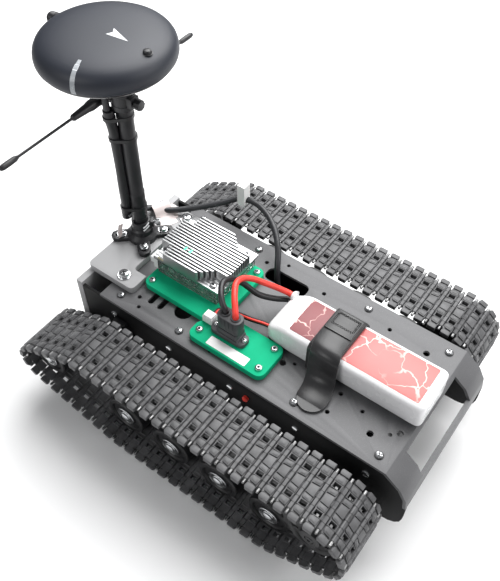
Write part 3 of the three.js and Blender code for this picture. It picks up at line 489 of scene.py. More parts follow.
def spline(points, per_span=6):
    """A smooth line through the points: a centripetal Catmull-Rom curve."""
    points = [Vector(p) for p in points]
    ends = [2 * points[0] - points[1], *points, 2 * points[-1] - points[-2]]
    line = []
    for i in range(1, len(ends) - 2):
        p0, p1, p2, p3 = ends[i - 1:i + 3]
        knots = [0.0]
        for a, b in ((p0, p1), (p1, p2), (p2, p3)):
            knots.append(knots[-1] + max((b - a).length, 1e-4) ** 0.5)
        for k in range(per_span):
            t = knots[1] + (knots[2] - knots[1]) * k / per_span

            def between(a, b, ta, tb):
                return a * ((tb - t) / (tb - ta)) + b * ((t - ta) / (tb - ta))
            a1 = between(p0, p1, knots[0], knots[1])
            a2 = between(p1, p2, knots[1], knots[2])
            a3 = between(p2, p3, knots[2], knots[3])
            b1 = between(a1, a2, knots[0], knots[2])
            b2 = between(a2, a3, knots[1], knots[3])
            line.append(between(b1, b2, knots[1], knots[2]))
    return line + [points[-1]]


# ---------------------------------------------------------------- camera, light and floor
def make_camera():
    """The camera stands in front of the right side, above the deck, looking down at the middle."""
    data = bpy.data.cameras.new("camera")
    data.sensor_width = 36
    data.lens = 46.35
    data.shift_x = -0.0031
    camera = bpy.data.objects.new("camera", data)
    look = Vector((0.5155, 0.3690, -0.7734)).normalized()
    right = Vector((0.5897, -0.8075, 0.0078))
    right = (right - look * right.dot(look)).normalized()
    up = right.cross(look)
    camera.matrix_world = Matrix.Translation(spot(-239.4, -45.1, 375.1)) @ Matrix(
        (right, up, -look)).transposed().to_4x4()
    bpy.context.scene.collection.objects.link(camera)
    bpy.context.scene.camera = camera


def soft_box(name, place, target, size, watts, colour=(1, 1, 1)):
    data = bpy.data.lights.new(name, "AREA")
    data.shape = "RECTANGLE"
    data.size, data.size_y = size
    data.energy = watts
    data.color = colour
    lamp = bpy.data.objects.new(name, data)
    lamp.location = place
    lamp.rotation_mode = "QUATERNION"
    lamp.rotation_quaternion = (Vector(target) - Vector(place)).to_track_quat("-Z", "Y")
    bpy.context.scene.collection.objects.link(lamp)


def make_room():
    scene = bpy.context.scene
    scene.view_settings.view_transform = "Standard"
    world = bpy.data.worlds.new("soft_room")
    scene.world = world
    world.use_nodes = True
    background = world.node_tree.nodes["Background"]
    background.inputs["Color"].default_value = (0.95, 0.97, 1, 1)
    background.inputs["Strength"].default_value = 0.2
    floor = Shape()
    floor.add([(-4000, -4000, 0), (4000, -4000, 0), (4000, 4000, 0), (-4000, 4000, 0)], [[0, 1, 2, 3]])
    mesh = bpy.data.meshes.new("floor")
    mesh.from_pydata([p * MM for p in floor.points], [], floor.faces)
    mesh.materials.append(FLOOR)
    ground = bpy.data.objects.new("floor", mesh)
    scene.collection.objects.link(ground)
    soft_box("key", (0.6, 0.15, 1.0), (0, 0, 0.08), (1.2, 1.0), 29)
    soft_box("front", (0.35, -0.9, 0.7), (0, -0.05, 0.08), (0.7, 0.5), 5)
    soft_box("side", (-1.0, 0.3, 0.8), (0, 0, 0.08), (0.6, 0.6), 4)


make_camera()
make_room()


# ---------------------------------------------------------------- power plug, then the cords
PLUG = {"x": -29, "y": 120.6, "half_x": 4.6, "half_y": 8.4, "z0": 14.2, "z1": 26, "pins": 3.7}


def make_power_plug():
    p = PLUG
    shape = Shape()
    low = rounded(p["x"] - 4.2, p["x"] + 4.2, p["y"] - 7.9, p["y"] + 7.9, 3)
    shape.prism(low, p["z0"] - 0.1, p["z0"] + 3.5, 0, chamfer=0.3)
    body = rounded(p["x"] - p["half_x"], p["x"] + p["half_x"], p["y"] - p["half_y"],
                   p["y"] + p["half_y"], 3.8)
    shape.prism(body, p["z0"] + 3, p["z1"] - 0.9, 0, chamfer=0.5)
    for side in (-1, 1):                                     # grip ribs down both long faces
        for i in range(4):
            y = p["y"] - 4.2 + 2.8 * i
            x = p["x"] + side * p["half_x"]
            shape.box((x - 0.3, x + 0.3), (y - 0.5, y + 0.5), (p["z0"] + 4.5, p["z1"] - 2), 0,
                      chamfer=0.15)
    for side in (-1, 1):                                     # a raised collar round each wire
        collar = [(2.25, 0), (2.9, 0), (3.1, 0.5), (3.1, 1.2), (2.7, 1.6), (2.25, 1.6), (2.25, 0.2)]
        shape.lathe([(0, -0.5)] + collar[1:5] + [(2.3, 1.6), (2.2, 0.2), (0, 0.2)],
                    axes((p["x"], p["y"] + side * p["pins"], p["z1"] - 1.5), (0, 0, 1)), 28)
    return shape.make("battery_power_plug", [CHARCOAL], stands_for=("power_plug",), slot="charcoal")


BALANCE = {"x": -27.4, "y": 138, "half_x": 3, "half_y": 3.6, "z0": 5.3, "z1": 11.6}


def make_balance_plug():
    b = BALANCE
    shape = Shape()
    x0, x1, y0, y1 = b["x"] - b["half_x"], b["x"] + b["half_x"], b["y"] - b["half_y"], b["y"] + b["half_y"]
    shape.box((x0, x1), (y0, y1), (b["z0"], b["z1"] - 1.2), chamfer=0.2)
    shape.box((x0 + 0.4, x1 - 0.4), (y0 + 0.4, y1 - 0.4), (b["z1"] - 1.4, b["z1"]), chamfer=0.25)
    for i in range(3):
        y = y0 + 1.4 + 2.2 * i
        shape.box((x0 - 0.15, x0 + 0.2), (y - 0.35, y + 0.35), (b["z0"] + 1, b["z1"] - 2), chamfer=0.1)
    return shape.make("balance_connector", [WHITE_PLASTIC], stands_for=("balance_plug",),
                      slot="white_plastic")


def make_cord(name, points, diameter, made,
              stands_for=(), slot=None, per_span=6):
    """A round cord through its route; gives back the smooth line it follows."""
    line = spline(points, per_span)
    shape = Shape()
    shape.tube(line, diameter / 2, 14)
    piece = shape.make(name, [made], stands_for=stands_for, slot=slot, sharp=60)
    return line


RED_ROUTE = [(13.2, 105, 14.2), (13, 107, 14.6), (9.8, 112.8, 18.2), (4.6, 119, 23.5), (-0.6, 125, 28.5),
             (-6.5, 128.6, 32), (-13, 128.4, 34), (-20, 124.4, 33.5), (-26, 119.6, 31),
             (-29, 116.9, 28), (-29, 116.9, 23.3)]
BLACK_ROUTE = [(12.4, 105, 9), (12.2, 107, 9.1), (7, 112.6, 11), (0, 121, 16), (-4, 130, 24),
               (-9, 134.6, 30),
               (-16.5, 135.4, 33.5), (-24, 131.4, 33), (-28.2, 127, 30.4), (-29, 124.3, 27.4),
               (-29, 124.3, 23.3)]
BALANCE_ROUTE = [(-11, 105, 9), (-11.6, 108, 9.2), (-14.2, 117, 9.6), (-15.4, 125, 9.4), (-17, 132.6, 9),
                 (-20, 137.2, 8.6), (-24.1, 137.4, 8.4)]
CABLE_ROUTE = [(-7, 227.2, 139), (-6.6, 226.8, 132), (-5.8, 225.2, 120), (-5.4, 224.8, 106),
               (-3.8, 224.8, 92),
               (-3.6, 224.8, 60), (-3.6, 225, 34), (-0.6, 229.8, 19.5), (10, 231.4, 14.4),
               (21.6, 229.4, 10.2),
               (29.5, 217.6, 8.6), (41.5, 201.5, 11.5), (52, 189, 15), (60.2, 179.6, 18),
               (61, 167.5, 19.6),
               (57, 155, 19.4), (49.6, 143.4, 17), (40.4, 134.4, 12), (33.2, 129.6, 5), (30.6, 127.6, -4),
               (29, 125, -14)]
WIRE_THICK = 3.8
CABLE_THICK = 4.2
LEAD_THICK = 1.5


def offset_route(points, around, height):
    """A route beside another: shifted sideways in plan and up, and back together at neither end."""
    made = []
    for i, p in enumerate(points):
        a = Vector(points[max(i - 1, 0)])
        b = Vector(points[min(i + 1, len(points) - 1)])
        aside = Vector((b.y - a.y, a.x - b.x, 0)).normalized()
        made.append(tuple(Vector(p) + aside * around + Vector((0, 0, height))))
    return made


def make_cords():
    plug = make_power_plug()
    balance = make_balance_plug()
    make_cord("red_power_wire", RED_ROUTE, WIRE_THICK, RED_WIRE,
              stands_for=("power_wire_red",), slot="red_wire", per_span=8)
    make_cord("black_power_wire", BLACK_ROUTE, WIRE_THICK, BLACK_WIRE,
              stands_for=("power_wire_black",), slot="black_wire", per_span=8)
    leads = (("balance_wire_red", RED_WIRE, -0.85, 0.75), ("balance_wire_black", BLACK_WIRE, 0.85, -0.2),
             ("balance_wire_black_2", BLACK_WIRE, -0.8, -0.9))
    for i, (name, made, aside, up) in enumerate(leads):
        make_cord(name, offset_route(BALANCE_ROUTE, aside, up), LEAD_THICK, made,
                  stands_for=("balance_lead",) if i == 0 else (),
                  slot="red_wire" if i == 0 else "black_wire")
    line = make_cord("receiver_lead", CABLE_ROUTE, CABLE_THICK, CABLE,
                     stands_for=("receiver_cable",), slot="black_wire", per_span=8)
    return line


cable_line = make_cords()


# ---------------------------------------------------------------- the tracks
TRACK_X = 78.5                   # from the centre line to the middle of each track
PITCH = 9.5
PIN_TOP = -7                     # height of the hinge pins along the upper run
TEETH = 16
SPROCKET_R = PITCH / (2 * math.sin(math.pi / TEETH))
SPROCKET = (18.5, PIN_TOP - SPROCKET_R)
ROLLER = (194, PIN_TOP - 12)
IDLER = (228.35, -41.9)
WHEEL_Y = (50.8, 89, 127.2, 165.4)
WHEEL_Z = -58.5
# circles that the pins run around, as (y, z, radius), from the nose over the top
CIRCLES = ((*SPROCKET, SPROCKET_R), (*ROLLER, 12), (*IDLER, 16.4), (WHEEL_Y[3], WHEEL_Z, 17.5),
           (WHEEL_Y[0], WHEEL_Z, 17.5))


def pin_path():
    """The closed line of the hinge pins, as straight runs and arcs: (length, point at a distance)."""
    normals = []
    for a, b in zip(CIRCLES, CIRCLES[1:] + CIRCLES[:1]):
        gap = Vector((b[0] - a[0], b[1] - a[1]))
        along = gap.normalized()
        lean = (a[2] - b[2]) / gap.length
        normals.append(Vector((lean * along.x - math.sqrt(1 - lean * lean) * along.y,
                               lean * along.y + math.sqrt(1 - lean * lean) * along.x)))
    parts = []
    for i, a in enumerate(CIRCLES):
        b = CIRCLES[(i + 1) % len(CIRCLES)]
        n, after = normals[i], normals[(i + 1) % len(CIRCLES)]
        start = Vector(a[:2]) + n * a[2]
        end = Vector(b[:2]) + n * b[2]
        parts.append(((end - start).length, lambda d, s=start, e=end: s + (e - s).normalized() * d))
        turn = (math.atan2(n.y, n.x) - math.atan2(after.y, after.x)) % TURN
        first = math.atan2(n.y, n.x)
        parts.append((turn * b[2], lambda d, c=b, f=first: Vector((
            c[0] + c[2] * math.cos(f - d / c[2]), c[1] + c[2] * math.sin(f - d / c[2])))))
    return parts


PATH = pin_path()
PATH_LENGTH = sum(length for length, _ in PATH)
LINKS = round(PATH_LENGTH / PITCH)


def on_path(s):
    s %= PATH_LENGTH
    for length, point in PATH:
        if s <= length:
            return point(s)
        s -= length
    return PATH[0][1](0)


LINK = {"half": 3.05, "cross": 16.5, "low": -2.3, "top": 0.9, "pad": 1.85, "hole_x": (8, 11),
        "hole_y": 2.1,
        "end": 20.8, "pin": 0.95}
# the raised pads on one half of a link, as outlines in (across, along)
PADS = (
    ((4.0, -2.35), (7.35, -2.7), (6.85, 2.0), (6.2, 2.75), (3.5, 2.75)),
    ((11.75, -2.75), (16.2, -2.35), (15.7, 1.9), (14.1, 2.75), (12.6, 2.75), (11.75, 1.9)),
)
CENTRE_PAD = ((-3.55, -2.75), (3.55, -2.75), (3.0, 2.75), (-3.0, 2.75))
END_PAD = ((16.95, -2.95), (20.6, -2.95), (20.6, 2.2), (19.9, 2.95), (18.2, 2.95), (16.95, 2.5))
KNUCKLES = ((-16, -12.1), (-11.8, -7.6), (-7.3, -2.6), (-2.3, 2.3), (2.6, 7.3), (7.6, 11.8), (12.1, 16))


def mirrored(outline):
    return [(-x, y) for x, y in reversed(outline)]


def cell_plate(shape, x_cuts, y_cuts, missing, low, high, slot=0):
    """A plate of rectangular cells, some of them left out, with walls round every opening."""
    cells = [(i, j) for i in range(len(x_cuts) - 1) for j in range(len(y_cuts) - 1) if (i,
            j) not in missing]
    index, points, faces = {}, [], []

    def corner(i, j, z):
        if (i, j, z) not in index:
            index[(i, j, z)] = len(points)
            points.append((x_cuts[i], y_cuts[j], z))
        return index[(i, j, z)]
    for i, j in cells:
        ring = ((i, j), (i + 1, j), (i + 1, j + 1), (i, j + 1))
        faces.append([corner(a, b, high) for a, b in ring])
        faces.append([corner(a, b, low) for a, b in reversed(ring)])
        beside = ((i, j - 1), (i + 1, j), (i, j + 1), (i - 1, j))
        for k, cell in enumerate(beside):
            if cell not in cells:
                (a, b), (c, d) = ring[k], ring[(k + 1) % 4]
                faces.append([corner(a, b, low), corner(c, d, low), corner(c, d, high),
                              corner(a, b, high)])
    shape.add(points, faces, slot)


def link_shape():
    """One link lying flat: x across the track, y along it towards the next hinge, z outward."""
    k = LINK
    link = Shape()
    x0, x1 = k["hole_x"]
    cuts = (-k["cross"], -x1, -x0, x0, x1, k["cross"])
    cell_plate(link, cuts, (-k["half"], -k["hole_y"], k["hole_y"], k["half"]), {(1, 1), (3, 1)},
               k["low"] + 0.7, k["top"])
    link.prism(CENTRE_PAD, k["top"] - 0.1, k["pad"], chamfer=0.3)
    for mirror in (False, True):
        def side(outline):
            return mirrored(outline) if mirror else list(outline)
        sign = -1 if mirror else 1
        for outline in PADS:
            link.prism(side(outline), k["top"] - 0.1, k["pad"], chamfer=0.3)
        tongue = side(((12.7, -1.3), (15.3, -1.5), (14.7, 1.5), (12.9, 1.5)))
        link.prism(tongue, k["pad"] - 0.1, k["pad"] + 0.22, chamfer=0.1)
        tongue = side(((4.7, -1.4), (6.5, -1.6), (6.1, 1.4), (4.4, 1.4)))
        link.prism(tongue, k["pad"] - 0.1, k["pad"] + 0.22, chamfer=0.1)
        # the end block outside the hinge, hollowed a little towards the neighbour's pin
        link.prism(side(END_PAD), k["low"] + 0.9, k["pad"] - 0.1, chamfer=0.35)
        link.box(sorted((sign * 16.4, sign * 17.1)), (-1.6, 1.6), (k["low"] + 1, k["top"]))
        # raised frames round the sprocket hole, outside and in
        for low, high in ((k["top"] - 0.1, k["pad"] - 0.15), (k["low"], k["low"] + 0.8)):
            for bar in ((x0 - 0.55, x0 - 0.05), (x1 + 0.05, x1 + 0.55)):
                bar = sorted((sign * bar[0], sign * bar[1]))
                link.box(bar, (-k["half"] + 0.1, k["half"] - 0.1), (low, high), chamfer=0.08)
            for y in (-k["hole_y"] - 0.4, k["hole_y"] + 0.4):
                link.box(sorted((sign * (x0 - 0.1), sign * (x1 + 0.1))), (y - 0.3, y + 0.3), (low, high),
                         chamfer=0.08)
        # ribs on the inner face that guide the wheels
        link.box(sorted((sign * 4.6, sign * 5.6)), (-2.4, 2.4), (k["low"] - 0.15, k["low"] + 0.9),
                 chamfer=0.2)
    # hinge knuckles in a row, by turns this link's and the next one's, under a narrow raised bar
    bar = ((-1.25, -1.35), (1.25, -1.35), (1.3, 1.05), (0.85, 1.75), (-0.85, 1.75), (-1.3, 1.05))
    for x_low, x_high in KNUCKLES:
        place = Matrix.Translation((0, PITCH / 2, 0)) @ Matrix(
            ((0, 0, 1, 0), (1, 0, 0, 0), (0, 1, 0, 0), (0, 0, 0, 1)))
        link.prism(bar, x_low, x_high, place=place)
    for i, (x_low, x_high) in enumerate(KNUCKLES):
        toward = -1 if i % 2 else 1
        y = PITCH / 2 - toward * 1.35
        link.box((x_low + 0.5, x_high - 0.5), sorted((y, y - toward * 0.7)), (-1.2, 0.5))
    link.lathe([(0.75, 1.6), (0.75, 1.85), (0.5, 1.85), (0.4, 1.6)],
               Matrix.Translation((0, PITCH / 2, 0)), 12)
    # the steel hinge pin, its round ends showing between the end blocks
    pin = [(0, -19.2), (0.6, -19.1), (0.95, -18.7), (0.95, 18.7), (0.6, 19.1), (0, 19.2)]
    link.lathe(pin, axes((0, PITCH / 2, 0.35), (1, 0, 0)), 12, slot=1)
    return link


def make_tracks():
    link = link_shape()
    pitch = PATH_LENGTH / LINKS
    for name, side in SIDES:
        track = Shape()
        for i in range(LINKS):
            a, b = on_path((i - 0.5) * pitch), on_path((i + 0.5) * pitch)
            along = (b - a).normalized()
            middle = (a + b) / 2
            outward = Vector((0, -along.y, along.x))
            place = Matrix(((1, 0, 0), (0, along.x, outward.y), (0, along.y, outward.z))).to_4x4()
            place.translation = Vector((side * TRACK_X, middle.x, middle.y))
            track.merge(link, place)
        track.make(name + "_track_links", [TRACK_PLASTIC, PIN_STEEL], stands_for=(name + "_track",),
                   slot="track",
                   sharp=30)


make_tracks()


# ---------------------------------------------------------------- sprockets, idlers, rollers, wheels
def outward_axes(side, y, z):
    """Local z points out along the axle, away from the chassis, from the vehicle's centre plane."""
    return axes((0, y, z), (side, 0, 0), (0, 0, 1))


def make_sprocket(name, side):
    shape = Shape()
    place = outward_axes(side, *SPROCKET)
    hub = [(0, 47.8), (3, 47.8), (3, 61), (8, 61), (8, 71.9), (17.1, 71.9), (17.5, 72.3), (17.5, 88.6),
           (17, 89.4), (14.6, 92.1), (14, 92.3), (13, 91.7), (12.4, 90.6), (8.4, 90.4), (7.6, 90.8),
           (6.6, 93.2), (5.6, 93.6), (3.1, 93.6), (2.9, 92.6), (0, 92.6)]
    shape.lathe(hub, place, 56)
    tip = SPROCKET_R - 1.25
    for at in (TRACK_X - PITCH, TRACK_X + PITCH):
        outline = []
        for i in range(TEETH):
            middle = TURN * i / TEETH
            for turn, r in ((-0.1, 20.4), (-0.06, tip - 0.7), (-0.035, tip), (0.035, tip),
                            (0.06, tip - 0.7),
                            (0.1, 20.4)):
                outline.append((r * math.cos(middle + turn), r * math.sin(middle + turn)))
        shape.prism(outline, at - 1.4, at + 1.4, 0, place, chamfer=0.25, both=True)
        for i in range(TEETH):                               # the worn, paler tip of each tooth
            angle = TURN * i / TEETH
            spot_place = place @ Matrix.Rotation(angle, 4, "Z") @ Matrix.Translation((tip - 0.15, 0, at))
            shape.box((-0.5, 0.3), (-0.75, 0.75), (-1.0, 1.0), 2, spot_place, chamfer=0.15)
    # The dark discs laid on the outer face are painted shade of the lightening pockets.
    for i in range(5):                                       # lightening pockets in the outer face
        angle = TURN * (i + 0.5) / 5
        pocket_shade = [(x + 11 * math.cos(angle), y + 11 * math.sin(angle)) for x, y in circle(1.6, 16)]
        shape.prism(pocket_shade, 90.2, 91, 1, place)
    shape.lathe([(2.7, 92.4), (2.7, 93.4), (2.2, 93.9), (1.1, 94.1), (1.0, 93.5), (0, 93.5)], place, 24,
                1)
    shape.make(name + "_drive_sprocket", [WHEEL_PLASTIC, DARK_STEEL_AND_SHADE, PIN_STEEL], name + "_sprocket",
               stands_for=(name + "_sprocket",), slot="wheel")


def make_wheel(name, side, y, z, rim, inner, outer, bore_end, stands_for, treads=0):
    """A disc wheel: dished outer face with a bright ring and a domed steel hub nut."""
    shape = Shape()
    place = outward_axes(side, y, z)
    profile = [(3, bore_end), (3, inner - 2), (6.4, inner - 2), (6.8, inner - 1.6), (6.8, inner),
               (rim - 0.5, inner), (rim, inner + 0.5), (rim, outer - 0.6), (rim - 0.6, outer),
               (rim - 2.6, outer), (rim - 3.2, outer - 0.5), (rim - 3.6, outer - 1.6), (7.6, outer - 1.7),
               (7.3, outer - 1.3), (7.1, outer - 0.6), (0, outer - 0.6)]
    shape.lathe([(0, bore_end), *profile], place, 56)
    for i in range(treads):                                  # shallow grooves round the tyre
        middle = inner + (i + 1) * (outer - inner) / (treads + 1)
        shape.lathe([(rim - 0.4, middle - 0.9), (rim + 0.12, middle - 0.6), (rim + 0.12, middle + 0.6),
                     (rim - 0.4, middle + 0.9)], place, 56)
    ring = [(6.1, outer - 0.7), (6.85, outer - 0.5), (6.95, outer - 0.1), (6.6, outer + 0.12),
            (6.1, outer - 0.1)]
    shape.lathe(ring, place, 56, 1)
    dome = [(3.9, outer - 0.7), (3.9, outer - 0.1), (3.6, outer + 0.1), (3.4, outer + 0.9),
            (2.7, outer + 1.4),
            (1.5, outer + 1.75), (0, outer + 1.85)]
    shape.lathe(dome, place, 32, 1)
    shape.make(name, [WHEEL_PLASTIC, STEEL], stands_for[0], stands_for=stands_for, slot="wheel")


def make_wheels():
    for name, side in SIDES:
        make_sprocket(name, side)
        make_wheel(name + "_rear_idler", side, *IDLER, 13.6, 66, 89.5, 84, (name + "_idler",), 2)
        make_wheel(name + "_top_roller", side, *ROLLER, 9.2 + 0.01, 68, 87, 82,
                   (name + "_return_roller",))
        for i, y in enumerate(WHEEL_Y):
            make_wheel(f"{name}_wheel_{i + 1}", side, y, WHEEL_Z, 14.7, 65, 86.2, 80,
                       (f"{name}_road_wheel_{i + 1}",), 2)


make_wheels()
for side_name, _ in SIDES:
    dress(side_name + "_wheel_beam", BLACK_PLASTIC_AND_SHADE)
    dress(side_name + "_gear_motor", BLACK_PLASTIC_AND_SHADE)
    refine(side_name + "_side_plate", BLACK_SHEET, 0.25)
dress("belly_plate", BLACK_SHEET)
refine("deck_plate", DECK_PAINT, 0.35)
refine("rear_bracket", BRACKET_PRINT, 0.9)


# ---------------------------------------------------------------- screws
def cross_screw(shape, x, y, z, r, head=0, drive=1, up=(0, 0, 1), turned=0.4):
    """A pan-head screw with a cross drive, its head standing on (x, y, z)."""
    place = axes((x, y, z), up) @ Matrix.Rotation(turned, 4, "Z")
    shape.lathe([(0, -0.3), (r, -0.3), (r, 0.25 * r), (r * 0.86, 0.5 * r), (r * 0.55, 0.64 * r),
                 (0, 0.7 * r)], place, 28, head)
    # The dark cross laid on the head is painted shade of the cross recess.
    arm, half = r * 0.58, r * 0.15
    for a, b in ((arm, half), (half, arm)):
        shape.box((-a, a), (-b, b), (0.5 * r, 0.74 * r), drive, place)


def button_screw(shape, x, y, z, r, head=0, drive=1, up=(0, 0, 1)):
    """A button-head screw with a hexagon socket, standing on (x, y, z)."""
    place = axes((x, y, z), up)
    shape.lathe([(0, -0.3), (r, -0.3), (r, 0.2 * r), (r * 0.9, 0.5 * r), (r * 0.62, 0.68 * r),
                 (r * 0.44, 0.7 * r), (r * 0.4, 0.34 * r), (0, 0.34 * r)], place, 28, head)
    # The dark hexagon at the socket's floor is painted shade of the socket.
    shape.prism(circle(r * 0.4, 6), 0.3 * r, 0.38 * r, drive, place)


DECK_SCREWS = [(side * 42.5, y) for side in (-1, 1) for y in (8.4, 65, 151, 199.3)]


def make_deck_screws():
    shape = Shape()
    for i, (x, y) in enumerate(DECK_SCREWS):
        place = Matrix.Translation((x, y, 0))
        # A black ring round each head: painted shade of the screw's hole.
        shape.lathe([(0, -0.2), (2.75, -0.2), (2.75, 0.35), (2.5, 0.6), (0, 0.6)], place, 28, 0)
        cross_screw(shape, x, y, 0.5, 2.15, 1, 2, turned=0.5 + i)
    shape.make("deck_screws", [BLACK_PLASTIC_AND_SHADE, STEEL, DARK_STEEL_AND_SHADE], slot="steel")
    side = Shape()
    for _, sign in SIDES:                                    # heads on the outer face of each side sheet
        for y, z in ((10.7, -12), (58.3, -12), (106, -12), (154, -12), (200, -12), (212, -28), (14, -40)):
            button_screw(side, sign * 49.8, y, z, 2.4, up=(sign, 0, 0))
    side.make("side_screws", [STEEL, DARK_STEEL_AND_SHADE], slot="steel")
    grommet = Shape()
    grommet.lathe([(0, 49.6), (2, 49.6), (2, 51.6), (1.6, 52), (0, 52)], outward_axes(-1, 93.7, -13), 20)
    grommet.make("side_plug", [RED_WIRE])


def make_bracket_screws():
    for name, side in SIDES:
        shape = Shape()
        x, y, z = side * 31.8, 205.3, 5.3
        place = Matrix.Translation((x, y, z))
        shape.lathe([(0, -4.5), (1.4, -4.5), (1.4, 0.1), (4.3, 0.1), (4.45, 0.3), (4.45, 0.75),
                     (4.25, 0.95),
                     (0, 0.95)], place, 36)
        cross_screw(shape, x, y, z + 1.2, 3.5, 0, 1, turned=0.9 * side)
        shape.make(name + "_bracket_bolt", [STEEL, DARK_STEEL_AND_SHADE], stands_for=(name + "_bracket_screw",),
                   slot="steel")


# ---------------------------------------------------------------- controller and power board
CONTROLLER = (-28.6, 26, 133, 192.6)
CASE = {"x": (-15.6, 25.6), "y": (142.4, 190), "z": (5.3, 15.2)}


def make_controller():
    x0, x1, y0, y1 = CONTROLLER
    plate = Shape()
    plate.prism(rounded(x0, x1, y0, y1, 5), 0.3, 5, chamfer=0.5, both=True)
    plate.make("controller_board", [GREEN_PRINT], stands_for=("controller_plate",), slot="green_print")
    screws = Shape()
    for x, y in ((-24, 188), (21.5, 137.6), (-24, 137.6), (21.5, 188)):
        button_screw(screws, x, y, 5, 2.3)
    (a, b), (c, d), (low, high) = CASE["x"], CASE["y"], CASE["z"]
    for x, y in ((a + 3.3, c + 4.6), (b - 4.6, c + 3.2)):
        button_screw(screws, x, y, 17.2, 2.4)
    screws.make("board_screws", [STEEL, DARK_STEEL_AND_SHADE], slot="steel")

    shell = Shape()
    wall = 1.1
    cell_plate(shell, (a, a + wall, b - wall, b), (c, c + wall, d - wall, d), {(1, 1)}, low, high)
    for x in (a + 2.6, b - 2.6):                             # corner posts with the case
        for y in (c + 2.6, d - 2.6):
            shell.lathe([(2.2, low + 0.3), (2.2, high)], Matrix.Translation((x, y, 0)), 20)
    shell.make("clear_case", [CLEAR], stands_for=("controller_case",), slot="case_clear", sharp=30)
    inside = Shape()
    inside.box((a + 1.6, b - 1.6), (c + 1.6, d - 1.6), (low + 1.2, low + 2.8), 0, chamfer=0.2)
    for i in range(7):                                       # parts along the near and front edges
        y = c + 5 + i * 6
        tall = 2.4 + 1.6 * ((i * 5) % 3)
        inside.box((a + 2, a + 4.6 + (i % 2)), (y, y + 3.8), (low + 2.8, low + 2.8 + tall), 1 + i % 2,
                   chamfer=0.2)
    for i in range(6):
        x = a + 7.5 + i * 5
        tall = 2 + 1.8 * ((i * 7) % 3)
        inside.box((x, x + 3.4), (c + 2, c + 4.8), (low + 2.8, low + 2.8 + tall), 1 + (i + 1) % 2,
                   chamfer=0.2)
    inside.box((a + 8, b - 8), (c + 9, d - 8), (low + 2.8, high - 0.6), 1, chamfer=0.4)
    inside.make("circuit_board", [CIRCUIT, BLACK_PLASTIC_AND_SHADE, STEEL], sharp=20)

    port = Shape()
    port.box((-15, -7.5), (190.3, 196.5), (10.2, 15.1), 0, chamfer=0.3)
    port.box((-15, -7.5), (190.3, 194), (6.2, 10.4), 0, chamfer=0.2)
    # A black plate over the connector's mouth: painted shade of its opening.
    port.box((-14.2, -8.3), (195.4, 196.6), (11, 14.3), 1)
    for i in range(4):
        x = -13.5 + i * 1.5
        port.box((x, x + 0.5), (194.5, 196.9), (12.2, 12.9), 2)
    port.box((-15, -8.4), (184.6, 190), (15.3, 18.2), 3, chamfer=0.35)
    port.box((-14.6, -8.8), (185.4, 189.2), (18, 19.4), 0, chamfer=0.3)
    port.make("port_connector", [WHITE_PLASTIC, BLACK_PLASTIC_AND_SHADE, STEEL, AMBER],
              stands_for=("controller_port",),
              slot="white_plastic")
    # Two green marks on the heatsink's top: painted reflections of the green boards.
    reflection_marks = Shape()
    for y in (171, 175.2):
        reflection_marks.box((-4.5, -1.8), (y, y + 1.6), (24.98, 25.06))
    reflection_marks.make("heatsink_painted_reflections", [GREEN_REFLECTION_PAINT])


def make_power_board():
    plate = Shape()
    x0, x1, y0, y1, tongue_x, tongue_y, r = -43.7, -17, 88, 131, -29.4, 144, 5
    outline = []
    for cx, cy, quarter in ((x1 - r, y1 - r, 0), (tongue_x - r, tongue_y - r, 0),
                            (x0 + r, tongue_y - r, 1),
                            (x0 + r, y0 + r, 2), (x1 - r, y0 + r, 3)):
        for i in range(7):
            angle = (quarter + i / 6) * TURN / 4
            outline.append((cx + r * math.cos(angle), cy + r * math.sin(angle)))
        if (cx, quarter) == (x1 - r, 0):
            outline.append((tongue_x, y1))
    plate.prism(outline, 0.3, 5, chamfer=0.45, both=True)
    plate.make("power_board", [GREEN_PRINT], stands_for=("power_plate",), slot="green_print")
    screws = Shape()
    for x, y in ((-21.8, 93.5), (-38.3, 93.3), (-36.9, 139)):
        button_screw(screws, x, y, 5, 2.4)
    button_screw(screws, -29.3, 110.7, 8.3, 1.7)
    button_screw(screws, -29.3, 131.6, 8.3, 1.7)
    screws.make("power_board_screws", [STEEL, DARK_STEEL_AND_SHADE], slot="steel")
    tag = Shape()
    tag.prism(rounded(-42.4, -35.9, 101, 130, 0.6, 3), 5.02, 5.14, chamfer=0.03)
    tag.make("blank_label", [PAPER])

    socket = Shape()
    x, y, z = -29.3, 121.2, 5.3
    flange = rounded(x - 4.6, x + 4.6, y - 12.6, y + 12.6, 3.2)
    socket.prism(flange, z, z + 3, chamfer=0.4)
    body = [(x - 4.3, y - 8), (x + 4.3, y - 8), (x + 4.3, y + 6), (x + 2.3, y + 8), (x - 2.3, y + 8),
            (x - 4.3, y + 6)]
    socket.prism(body, z + 2.5, z + 8.4, chamfer=0.3)
    socket.prism(inset(body, -0.5), z + 2.9, z + 4.4, chamfer=0.3)
    socket.make("panel_socket", [CHARCOAL], stands_for=("power_socket",), slot="charcoal")


# ---------------------------------------------------------------- battery and its strap
BATTERY = {"x": (-16.6, 17), "y": (-1.5, 104.6), "z": (0.4, 20.4), "r": 4}


